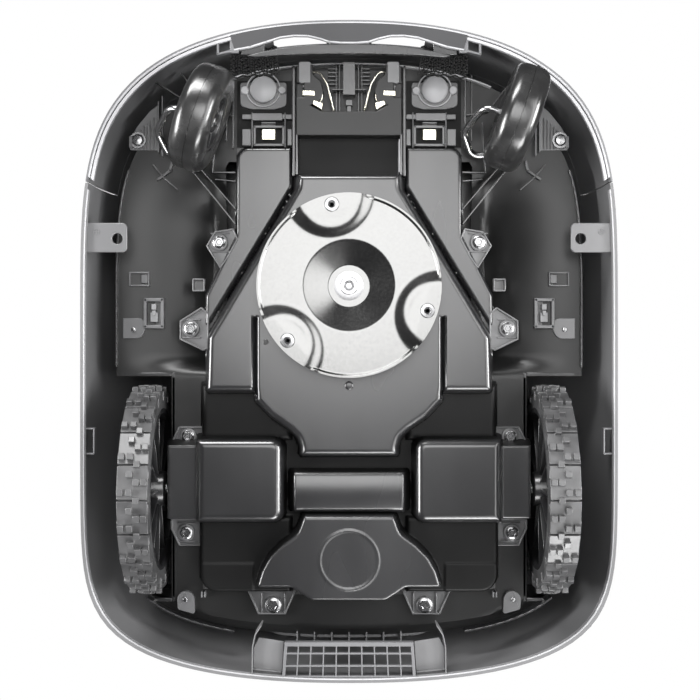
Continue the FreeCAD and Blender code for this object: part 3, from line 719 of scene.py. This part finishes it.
def tub_sheet(lift):
    """Rows of the tub floor from a hole inside the belly to the edge, then up the wall."""
    count = 256
    angle = around(count)
    far = reach(np.float64(PAN_W - lift), np.float64(PAN_L - lift), angle)
    across, along = np.cos(angle), np.sin(angle)
    near = np.minimum(130 / np.maximum(np.abs(across), 1e-6),
                      np.where(along > 0, 238, 200) / np.maximum(np.abs(along), 1e-6))
    rows = []
    for step_in in np.concatenate([np.linspace(0, 1, 22)[:-1], [0.985, 1.0]]):
        r = near + (far - near) * step_in
        x, y = r * across, r * along
        u = (far - r) * (1 - lift / 400)
        dish = 27 * (np.maximum(u - 5, 0) / 100) ** 1.7 * ramp(y, -205, 70) * ramp(-y, -25, 20)
        dish = dish * ramp(np.abs(x), 120, 30)
        dish = dish + 15 * np.clip(1 - u / 11, 0, 1) * (y > 255)
        rows.append(np.stack([x, y, PAN_Z + dish + lift], axis=1))
    rows.append(np.stack([far * across, far * along, np.full(count, PAN_TOP)], axis=1))
    return rows


pan = raw("pan", joined_rows(tub_sheet(0.0) + tub_sheet(3.0)[::-1]))
cut(pan, [block(187, 300, 26, 260, 60, 200), block(-300, -187, 26, 260, 60, 200)])
adopt(pan, "tub_pan", "satin_plastic", "chassis", 40.0, 0.0, ["chassis_tub"])
well_walls = blocks((183.2, 187, 22.2, 264, 120, 190), (187, 238, 22.2, 26, 120, 190),
                    (187, 206, 260, 264, 120, 190))
pair("wheel_wells", well_walls, "black_plastic", 0.8)
edge_run = sorted((p for p in plan_outline(0.5, PAN_SCALE) if p[0] > 60), key=lambda p: p[1])
wing_edge = [p for p in edge_run if -196 < p[1] < 24]
rear_edge = [p for p in edge_run if 252 < p[1] < 300 and 120 < p[0]]
piece("wing_edges", *both(strip(wing_edge, 2.0, 115.5, 124)), "black_plastic", "chassis", 50, 0.5)
piece("rear_edges", *both(strip(rear_edge, 2.2, 112, 124)), "black_plastic", "chassis", 50, 0.5)


def frame_box(x0, x1, y0, y1, z0, z1, wall_width=1.6):
    """Open rectangular frame with a floor set back inside."""
    run = [(x0, y0), (x1, y0), (x1, y1), (x0, y1)]
    return merge(strip(run, wall_width, z0, z1, True), block(x0, x1, y0, y1, z1 - 1.2, z1 - 0.2))


wing_parts = merge(
    frame_box(152.4, 164.0, -76, -64, 115.5, 124),
    frame_box(211, 231, -83, -69.5, 117.5, 124), block(212, 219, -81, -72, 118.6, 122),
    extrude(rounded([(211, -35), (238, -35), (238, -13.5), (218, -13.5)], [8, 0, 0, 9]), 117.4, 124),
    frame_box(196.5, 214.5, -54.5, -26, 115.5, 126, 3.4))
pair("wing_sockets", wing_parts, "lug_plastic", 0.7)
latch = blocks((203, 208, -50, -44, 117, 124), (201.5, 209.5, -41, -31, 119, 124),
               (203.6, 207.4, -43, -38, 116.5, 120))
pair("wing_latches", latch, "gray_plastic", 0.4)
small_screws = merge(at(disc_head(2.6, 115.6, 118), 226.8, -23), at(disc_head(2.6, 112.8, 116), 172, 260.5))
pair("wing_screws", small_screws, "bright_steel")
tear = extrude(rounded([(163, 252), (181, 252), (180, 271), (162, 276)], [9, 9, 3, 2]), 115.4, 121)
clip = blocks((150.5, 152.2, 252, 258, 112, 121), (153.6, 155.3, 252, 258, 112, 121))
pair("rear_pads", tear, "lug_plastic", 1.2)
pair("rear_clips", clip, "grille_plastic", 0.3)

# front corners: ribbed bracket plates, gusset ribs and long webs
bracket_plan = rounded([(201, -212), (231, -212), (231, -222), (224, -236), (210, -253), (201, -260)],
                       [1, 2, 6, 30, 8, 1])
bracket = merge(
    extrude(bracket_plan, 118.6, 121),
    *[block(205 + 3.4 * k, 206 + 3.4 * k, -246 + 3.2 * k, -213, 115.4, 119) for k in range(7)],
    strip([(200, -262), (200, -210)], 1.4, 112.6, 121), strip([(196, -268), (196, -206)], 1.4, 113, 121),
    block(227.5, 231, -226, -214, 114, 120))
pair("front_brackets", bracket, "lug_plastic", 0.3)
corner_screw = merge(lathe([(0.001, 112.9), (4.6, 113.3), (5.6, 114.4), (5.6, 116), (0.001, 116)], 32),
                     ring(6.4, 8.4, 114.6, 118.8, 40))
pair("corner_screws", at(corner_screw, 222, -222), "bright_steel")
# path, width and lower edge of each web
webs = [([(119.6, -134), (166, -192)], 1.6, 113.2), ([(119.6, -150), (160, -197)], 1.4, 114.6),
        ([(119.6, -188), (143, -188)], 1.5, 113.2), ([(119.6, -179), (140, -181)], 1.2, 115),
        ([(122, -214), (122, -296)], 1.5, 114), ([(129, -222), (129, -290)], 1.2, 115),
        ([(143, -188), (140, -240)], 1.3, 113.6), ([(122, -248), (146, -252)], 1.3, 113.6),
        ([(170, -262), (205, -284)], 1.6, 113.6), ([(146, -252), (176, -292)], 1.3, 113.6),
        ([(180, -170), (194, -182), (206, -196)], 1.3, 114.6)]
web_shapes = [strip(path, width, low, 121) for path, width, low in webs]
web_shapes.append(strip([(201, -181), (188, -190), (186, -200)], 2.4, 114.6, 120))
pair("front_webs", merge(*web_shapes), "black_plastic", 0.3)
front_run = sorted(p for p in plan_outline(0.6, PAN_SCALE) if p[1] < -262 and abs(p[0]) < 150)
# pale strip: painted highlight along the tub's front edge
piece("front_edge", *strip(front_run, 1.6, 112, 124), "rim_plastic", "chassis", 50, 0.4)

# ---- belly: ribbed screw tabs and flange screws
REAR_TAB_Y = 250
# outline of each right-hand tab and the place of its screw
tabs = [([(135, -88), (149, -110.6), (140.6, -125.3), (121.7, -128.4), (117, -118), (128, -98)],
         136, -114.5),
        ([(153, -1.5), (176.8, -13), (176.8, -32), (155, -45.6), (148, -40), (148, -4)], 166, -24),
        ([(152, 97), (186.7, 97), (178.3, 79.8), (152, 79.8)], 169, 89),
        ([(150, 176), (186, 176), (186, 186), (178, 203), (150, 203)], 171, 190),
        ([(56, 250), (106, 250), (95, 275), (67, 275)], 79.5, 266.5)]


def tab(outline, x, y):
    """Recessed tab: thin rim, floor, a ring under the screw and two stiffening ribs."""
    floor_plate = extrude(outline, 116.2, 119.2)
    rim = strip(outline, 1.7, 112.6, 119.2, True)
    seat = lathe([(5.0, 113.1), (8.6, 113.1), (9.2, 114), (9.2, 119), (5.0, 119)], 36, True)
    if y > REAR_TAB_Y:
        ribs = [strip([(x + s * 12, y - 13), (x + s * 12, y + 8)], 1.3, 112.8, 119) for s in (-1, 1)]
    else:
        ribs = [strip([(x - 10, y + s * 9.5), (x + 9, y + s * 9.5)], 1.3, 113.4, 119) for s in (-1, 1)]
    return merge(floor_plate, rim, at(seat, x, y), *ribs)


def anticlockwise(outline):
    area = sum(a[0] * b[1] - b[0] * a[1] for a, b in zip(outline, outline[1:] + outline[:1]))
    return outline if area > 0 else outline[::-1]


tab_shapes = [tab(anticlockwise(outline), x, y) for outline, x, y in tabs]
pair("belly_tabs", merge(*tab_shapes), "lug_plastic", 0.45)
screws = merge(*[hex_screw(x, y, 113.2, *((6.0, 8.0) if y > REAR_TAB_Y else (5.2, 6.6)))
                 for _, x, y in tabs])
pair("belly_flange_screws", screws, "bright_steel", replaces=["belly_screws"])
# a near-black disc below the plate stands for the small hole: painted shade where no hole is cut
piece("moulding_hole", *at(disc_head(2.9, 72.6, 76), -84.5, -9.5), "hole_black", "chassis", 40, 0.0)
piece("belly_button", *at(disc_head(4.4, 70.4, 74, 1.6), 0, 34.6), "black_plastic", "chassis", 40, 0.0)

# ---- front contact housing, springs, round caps and latches
hook = [(-34.5, -283), (-29, -279), (-26.5, -268), (-30.5, -258), (-40, -254), (-28, -247.6), (0, -247.6)]
hook_right = [(-x, y) for x, y in reversed(hook[:-1])]
cavity_shape = [(-37.5, -302), (-37.5, -287)] + hook + hook_right + [(37.5, -287), (37.5, -302)]
body_outline = rounded([(-54.5, -296), (54.5, -296), (54.5, -222.5), (-54.5, -222.5)], [3, 3, 1, 1])
housing = raw("housing", extrude(anticlockwise(body_outline), 90.5, 120))
cut(housing, [extrude(anticlockwise(cavity_shape), 80, 114),
              both(block(40, 56, -300, -277.5, 80, 95)), both(block(46.5, 58, -277.5, -262, 80, 97))])
adopt(housing, "plug_housing", "satin_plastic", "chassis", 40, 0.9, ["contact_housing"])
cheeks = both(merge(extrude(rounded([(39, -299), (52, -299), (52, -276.5), (39, -276.5)], 2.5), 91, 118),
                    block(35, 48, -275, -271.8, 92.5, 112), block(35.5, 47, -271.8, -269.3, 94, 112)))
piece("housing_cheeks", *cheeks, "lug_plastic", "chassis", 40, 0.7)
inside = merge(block(-6.2, 6.2, -300, -266, 97, 114), block(-3.4, 3.4, -262, -256, 103, 114),
               block(-2.2, 2.2, -256, -250, 105, 114), block(-18, 18, -272.2, -271, 98, 114),
               *[block(x, x + 1.2, -300, -250, 106, 114) for x in (-14, -10.4, 9.2, 12.8)],
               *[block(s * 17 - 5, s * 17 + 5, y, y + 1.4, 108, 114)
                 for y in range(-296, -276, 4) for s in (1, -1)])
piece("cavity_ribs", *inside, "black_plastic", "chassis", 40, 0.3)


def spring(side):
    """Sprung contact: bright wire from the cheek down to the floor of the mouth, and its plate."""
    path = [(38.4, -289, 97), (32.3, -289, 95), (29, -286.5, 94.5), (22.7, -276.5, 94.5), (19, -262, 97),
            (15.8, -248.6, 103)]
    wire = tube([(side * x, y, z) for x, y, z in path], 1.15)
    hook_wire = [(35.5, -285, 98), (33.5, -281, 97), (29.5, -278, 96), (27.4, -270, 96), (28, -262, 96),
                 (31, -257, 98)]
    return merge(wire, tube([(side * x, y, z) for x, y, z in hook_wire], 0.8))


pads = both(merge(block(35.3, 48, -268.6, -263.6, 89.8, 112),
                  extrude([(26.8, -256), (36, -258.6), (38, -255), (28.5, -249.4)], 90.0, 113)))
piece("contact_springs", *merge(spring(1), spring(-1)), "contact_brass", "chassis", 50, 0.0,
      ["charge_contacts"])
piece("contact_pads", *pads, "contact_brass", "chassis", 40, 0.5)
trough = both(blocks((52.4, 54.6, -222, -181, 82, 119), (56.5, 59.5, -300, -184, 112, 119)))
piece("trough_walls", *trough, "black_plastic", "chassis", 40, 0.5)
# thin pale strip: painted highlight along the trough wall's edge
piece("trough_edge", *block(51.2, 52.4, -218, -184, 86, 118), "rim_plastic", "chassis", 40, 0.3)
piece("trough_floor", *block(-52.4, 52.4, -223, -180, 108, 119), "matte_plastic", "chassis", 40, 0.5)


def round_cap():
    """Cap on a two-eared clamp: the cap with its collar, and the two ears."""
    cap = lathe([(0.001, 111.6), (12.6, 111.6), (13.8, 112.4), (14.1, 113.5), (14.1, 118), (0.001, 118)], 56)
    collar = ring(17.0, 18.2, 114.6, 119, 56)
    ear = lathe([(0.001, 113.4), (3.4, 113.4), (4.4, 114.4), (4.4, 119), (0.001, 119)], 28)
    return merge(cap, collar), merge(at(ear, -19.6, 0.6), at(ear, 19.6, 0.6))


CAP_PLACE = (90, -275)
cap, ears = round_cap()
seat_plan = rounded([(-24.5, -8), (24.5, -8), (24.5, 17), (12, 20.5), (-12, 20.5), (-24.5, 17)],
                    [3, 3, 5, 6, 6, 5])
pair("float_cap_heads", at(cap, *CAP_PLACE), "rim_plastic", replaces=["float_caps"])
pair("float_cap_ears", at(ears, *CAP_PLACE), "rim_plastic")
pair("float_cap_seats", at(extrude(seat_plan, 117, 120), *CAP_PLACE), "lug_plastic", 0.6)
latch_frame = merge(
    block(60, 112, -248.6, -243.6, 112.4, 117), block(70, 102, -249.6, -242, 111, 117.5),
    strip([(69, -216.5), (69, -235.5), (99, -235.5), (99, -216.5)], 2.4, 111.6, 119, True),
    block(60, 64.5, -233, -216, 112, 119), block(103, 112, -233, -216, 112, 119),
    strip([(67, -250), (67, -214)], 1.2, 111, 119), strip([(101.6, -250), (101.6, -214)], 1.2, 111, 119),
    block(77, 92, -240.5, -238.9, 112, 118), block(77, 92, -237.8, -236.6, 112, 118))
# thin dark matte sheet over the tub floor around the latches and caps: painted shade
bay = block(60.5, 118, -285, -215, 118.9, 119.8)
pair("latch_bay_shade", bay, "matte_plastic", 0.2)
pair("latch_frames", latch_frame, "lug_plastic", 0.35)
plate_plan = rounded([(77.4, -233), (91.4, -233), (91.4, -222), (77.4, -222)], 0.8)
pair("latch_plates", extrude(plate_plan, 112.6, 118), "contact_brass", 0.4)


# ---- cutting disc: pressed bosses, cone, clamped centre
DISC_R = (DISC_HIGH[0] - DISC_LOW[0]) / 2
DISC_Z = DISC_LOW[2]
BOSS_CIRCLE, SCREW_CIRCLE = 93.0, 81.0
boss_angles = [math.radians(18 + 120 * k) for k in range(3)]


def disc_height(r, angle):
    """Underside of the disc: flat ring, straight cone to a flat middle, three pressed bosses at the rim."""
    height = DISC_Z + 0.3 + 8.0 * np.clip((45.5 - r) / 25, 0, 1)
    for boss in boss_angles:
        ahead = r * np.cos(angle - boss)
        away = np.hypot(ahead - BOSS_CIRCLE, r * np.sin(angle - boss))
        press = 3.6 * ramp(-away, -46, 16) - 1.6 * np.clip((76 - ahead) / 22, 0, 1) * ramp(-away, -38, 12)
        height = height - press * ramp(r, 44, 6)
    return height - 1.6 * ramp(r, 87.2, 1.8) * ramp(height, DISC_Z - 2.0, 1.5)


def disc_shape():
    radii = np.concatenate([[3.2], np.linspace(6, 16, 4), np.linspace(17, 24, 9), np.linspace(25, 86, 48),
                            np.linspace(87, DISC_R - 0.1, 8)])
    count = 240
    angle = around(count)
    rows = []
    for r in radii:
        rows.append([(r * math.cos(a), r * math.sin(a), z) for a, z in
                     zip(angle, disc_height(np.full(count, r), angle))])
    rows += [[(x, y, z + 1.4) for x, y, z in row] for row in reversed(rows)]
    return joined_rows(rows)


piece("deck_hole_lip", *at(ring(44.4, 47.8, 72.9, 78, 64), 0, DISC_Y),
      "black_plastic", "chassis", 40, 0.0)
piece("cutting_disc", *at(disc_shape(), 0, DISC_Y), "polished_steel", "disc", 50, 0.0, ["blade_disc"])
socket_head = merge(lathe([(8.9, 41), (8.9, 36.4), (8.3, 35.6), (5.2, 35.6), (4.6, 36.2), (4.6, 39.5),
                           (0.001, 39.5)], 40),
                    lathe([(14.5, 41.2), (14.5, 40.0), (9.0, 39.4), (0.001, 39.4)], 48),
                    lathe([(3.2, 38.0), (4.8, 36.6), (4.8, 40), (0.001, 40)], 6))
piece("disc_centre_screw", *at(socket_head, 0, DISC_Y), "bright_steel", "disc", 40, 0.0, ["disc_screw"])
heads = []
for boss in boss_angles:
    head = merge(lathe([(7.2, 29.3), (7.2, 27.6), (6.5, 26.6), (3.9, 26.4), (3.5, 26.9), (3.5, 28.4),
                        (0.001, 28.4)], 36),
                 lathe([(2.0, 28.3), (3.2, 27.0), (3.9, 27.2), (3.9, 28.6)], 6, True),
                 drum(2.9, 28.4, 39.4, 20))
    heads.append(at(head, SCREW_CIRCLE * math.cos(boss), DISC_Y + SCREW_CIRCLE * math.sin(boss)))
piece("disc_blade_screws", *merge(*heads), "bright_steel", "disc", 40, 0.0, ["blade_screws"])

# ---- drive wheels: segmented tread with small square lugs
WHEEL_LOW, WHEEL_HIGH = node_box("right_wheel_tyre")
WHEEL_Y = (WHEEL_LOW[1] + WHEEL_HIGH[1]) / 2
WHEEL_Z = (WHEEL_LOW[2] + WHEEL_HIGH[2]) / 2
WHEEL_R = (WHEEL_HIGH[2] - WHEEL_LOW[2]) / 2
X_IN, X_OUT = WHEEL_LOW[0], WHEEL_HIGH[0]
LUG_ROWS = 19


def turned_x(profile, segments=96):
    """Turns closed (x, radius) points about the wheel axis."""
    points, faces = lathe([(r, x) for x, r in profile], segments, True)
    return [(x, WHEEL_Y + b, WHEEL_Z + a) for a, b, x in points], faces


def spoke_block(x0, x1, r0, r1, width, angle, shear=0.0):
    """Block standing on the tread at an angle about the axle, r0 to r1 from it."""
    points, faces = block(x0, x1, -width / 2, width / 2, r0, r1)
    c, s = math.cos(angle), math.sin(angle)
    return [(x + (z - r0) * shear, WHEEL_Y + y * c + z * s, WHEEL_Z - y * s + z * c)
            for x, y, z in points], faces


def tread():
    """Carcass with a ring of shallow blocks, four rows of lugs and shoulder lugs on both sides."""
    shapes = [turned_x([(X_IN + 1, 84), (X_IN + 1, 96), (X_IN + 3, 100.2),
                        (X_OUT - 3, 100.2), (X_OUT - 1, 96), (X_OUT - 1, 84)])]
    pitch = 2 * math.pi / LUG_ROWS
    columns = [(X_IN + 1.2, 0.0), (X_IN + 8.2, 0.5), (X_IN + 15.0, 0.22), (X_OUT - 7.4, 0.72)]
    chord = 2 * 102.4 * math.sin(pitch / 2)
    for i in range(LUG_ROWS):
        angle = pitch * i
        shapes.append(spoke_block(X_IN + 0.6, X_OUT - 0.6, 98.5, 102.8, chord - 1.3, angle))
        for k, (x, phase) in enumerate(columns):
            for extra in ((0.0,) if k in (0, 3) else (0.0, 0.5)):
                lug_angle = angle + pitch * (phase + extra)
                shapes.append(spoke_block(x, x + 6.0, 99, WHEEL_R - 0.15, 6.4, lug_angle))
        shapes.append(spoke_block(X_IN, X_IN + 2.2, 92, 101.5, 9, angle + pitch * 0.25))
        shapes.append(spoke_block(X_OUT - 2.2, X_OUT, 92, 101.5, 9, angle + pitch * 0.75))
    return merge(*shapes)


def rim_shape():
    """Rim with a rolled edge on both sides, dished web, twelve ribs and a stepped hub."""
    band = turned_x([(X_IN + 1, 79.5), (X_IN + 1, 83.9), (X_OUT - 1, 83.9), (X_OUT - 1, 79.5),
                     (X_OUT - 3, 78), (X_OUT - 5, 78.6), (X_IN + 5, 78.6), (X_IN + 3, 78)])
    web = turned_x([(207, 20), (209.5, 20), (213, 79), (210.5, 79)], 72)
    hub = turned_x([(190.2, 7), (190.2, 15), (192, 18), (214, 18), (220, 20), (221.8, 19), (221.8, 7)], 60)
    shapes = [band, web, hub]
    shapes += [spoke_block(197, 216, 17, 79, 2.8, math.radians(30 * i), 0.02) for i in range(12)]
    return merge(*shapes)


for shape, suffix, material, smooth, bevel, node in (
        (tread(), "_tread", "tyre_rubber", 35, 0.45, "_wheel_tyre"),
        (rim_shape(), "_spoked_rim", "black_plastic", 40, 0.4, "_wheel_rim")):
    for side, wheel in (("right", shape), ("left", mirrored(shape))):
        piece(side + suffix, *wheel, material, side + "_drive_wheel", smooth, bevel, [side + node])

# ---- casters: crowned glossy tyre with a mould seam, hub with a recessed face
LEAN = math.radians(19.5)
CASTER_R, CASTER_W, TRAIL = 54.0, 18.5, 30.0


def caster_matrix(side):
    """From a wheel about the z axis to the parked wheel; both wheels lean the same way."""
    low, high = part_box("right_caster_collars")
    pivot_x, pivot_y = (low[0] + high[0]) / 2 / MM * side, (low[1] + high[1]) / 2 / MM
    centre = Vector((pivot_x + TRAIL * math.sin(LEAN), pivot_y - TRAIL * math.cos(LEAN), CASTER_R))
    return Matrix.Translation(centre) @ Matrix.Rotation(LEAN, 4, "Z") @ Matrix.Rotation(math.pi / 2, 4, "Y")


def caster_tyre():
    shoulder = [(CASTER_W - 11 + 11 * math.sin(a), CASTER_R - 11.3 + 11 * math.cos(a))
                for a in np.linspace(0, 1.45, 12)]
    crown = [(4.5, CASTER_R - 0.04), (0.5, CASTER_R - 0.01), (0.3, CASTER_R - 0.5)]
    wall = [(CASTER_W, 40), (CASTER_W - 0.8, 34), (CASTER_W - 2.6, 30.2)]
    side = crown[::-1] + shoulder + wall
    return lathe([(r, z) for z, r in side] + [(r, -z) for z, r in reversed(side)], 96, True)


def caster_hub():
    face = [(3.7, -15.4), (9, -15.4), (9.8, -14.4), (10.4, -9.6), (23.5, -9.6), (25, -10.6), (25.6, -15),
            (26.4, -15.6), (29.4, -15.6), (30.1, -14.6)]
    profile = face + [(r, -z) for r, z in reversed(face)]
    rib = block(9, 25.5, -0.9, 0.9, -14.2, 14.2)
    ribs = [moved(rib, Matrix.Rotation(math.radians(60 * i), 4, "Z")) for i in range(6)]
    return merge(lathe(profile, 72, True), *ribs)


for side, name in ((1, "right"), (-1, "left")):
    place = caster_matrix(side)
    wheel = name + "_caster_wheel"
    piece(name + "_crowned_tyre", *moved(caster_tyre(), place), "caster_rubber", wheel, 50, 0.0,
          [name + "_caster_tyre"])
    piece(name + "_ribbed_hub", *moved(caster_hub(), place), "black_plastic", wheel, 40, 0.3,
          [name + "_caster_hub"])
    seam = moved(block(53.2, CASTER_R - 0.05, -0.7, 0.7, -12, 12),
                 place @ Matrix.Rotation(math.radians(146), 4, "Z"))
    piece(name + "_tyre_seam", *seam, "caster_rubber", wheel, 40, 0.2)


# ---- stage, camera and light
def stage_floor():
    """Pale ground seen from above only, so that a camera below the mower looks through it."""
    mat, nodes, links, shader = new_material("pale_floor", (0.86, 0.86, 0.86), 0.8)
    path = nodes.new("ShaderNodeLightPath")
    side = nodes.new("ShaderNodeNewGeometry")
    front = nodes.new("ShaderNodeMath")
    front.operation = "SUBTRACT"
    links.new(path.outputs["Is Camera Ray"], front.inputs[0])
    links.new(side.outputs["Backfacing"], front.inputs[1])
    clear = nodes.new("ShaderNodeBsdfTransparent")
    mix = nodes.new("ShaderNodeMixShader")
    links.new(front.outputs[0], mix.inputs["Fac"])
    links.new(clear.outputs[0], mix.inputs[1])
    links.new(shader.outputs[0], mix.inputs[2])
    links.new(mix.outputs[0], nodes["Material Output"].inputs["Surface"])
    mesh = bpy.data.meshes.new("floor")
    mesh.from_pydata([(-4, -4, 0), (4, -4, 0), (4, 4, 0), (-4, 4, 0)], [], [(0, 1, 2, 3)])
    floor = new_object("floor", mesh)
    floor.location.z = -0.0005
    mesh.materials.append(mat)


# place, target, size and watts of each light, and its shape where it isn't a rectangle
LIGHTS = {
    "key_below": ((0.01, -0.27, -1.35), (0.0, -0.1, 0.1), (0.8, 0.8), 6.6, "ELLIPSE"),
    "rear_below": ((0.5, 0.95, -1.2), (0.05, 0.2, 0.1), (0.6, 0.5), 2.0),
    "front_left": ((-0.4, -1.4, -0.72), (0, 0, 0.1), (0.95, 0.5), 24),
    "rear_right": ((0.4, 1.4, -0.72), (0, 0, 0.1), (0.95, 0.5), 18),
    "side_left": ((-1.3, 0.0, -0.6), (0, 0, 0.1), (0.9, 0.4), 28),
    "side_right": ((1.3, 0.0, -0.6), (0, 0, 0.1), (0.9, 0.4), 24),
    "right_wall": ((0.78, -0.08, -1.0), (0.0, -0.08, 0.03), (1.5, 0.5), 9),
    "overhead": ((-0.4, -0.5, 1.6), (0, 0, 0.2), (1.2, 1.2), 20),
}


def area_light(name, place, target, size, power, shape="RECTANGLE"):
    data = bpy.data.lights.new(name, "AREA")
    data.shape = shape
    data.size, data.size_y = size
    data.energy = power
    light = new_object(name, data)
    light.location = place
    light.rotation_euler = (Vector(target) - Vector(place)).to_track_quat("-Z", "Y").to_euler()


SENSOR_WIDTH = 36.0
LENS_RATIO = 1.72
CAMERA_PLACE = (0.001, -0.0015, -1.15)


def camera_below():
    """Camera 1.15 m below the ground, looking straight up with the front of the mower at the top."""
    data = bpy.data.cameras.new("camera")
    data.sensor_width = SENSOR_WIDTH
    data.lens = SENSOR_WIDTH * LENS_RATIO
    camera = new_object("camera", data)
    camera.location = CAMERA_PLACE
    camera.rotation_euler = (math.pi, 0, 0)
    bpy.context.scene.camera = camera


def studio():
    """White backdrop for the camera, dim light from all round and the lamps."""
    world = bpy.data.worlds.new("studio")
    bpy.context.scene.world = world
    world.use_nodes = True
    nodes, links = world.node_tree.nodes, world.node_tree.links
    path = nodes.new("ShaderNodeLightPath")
    mix = nodes.new("ShaderNodeMixRGB")
    put(mix, {"Color1": (0.06, 0.06, 0.063, 1), "Color2": (1, 1, 1, 1)})
    links.new(path.outputs["Is Camera Ray"], mix.inputs["Fac"])
    links.new(mix.outputs["Color"], nodes["Background"].inputs["Color"])
    for light, look in LIGHTS.items():
        area_light(light, *look)
    bpy.context.scene.view_settings.view_transform = "Standard"


stage_floor()
studio()
camera_below()
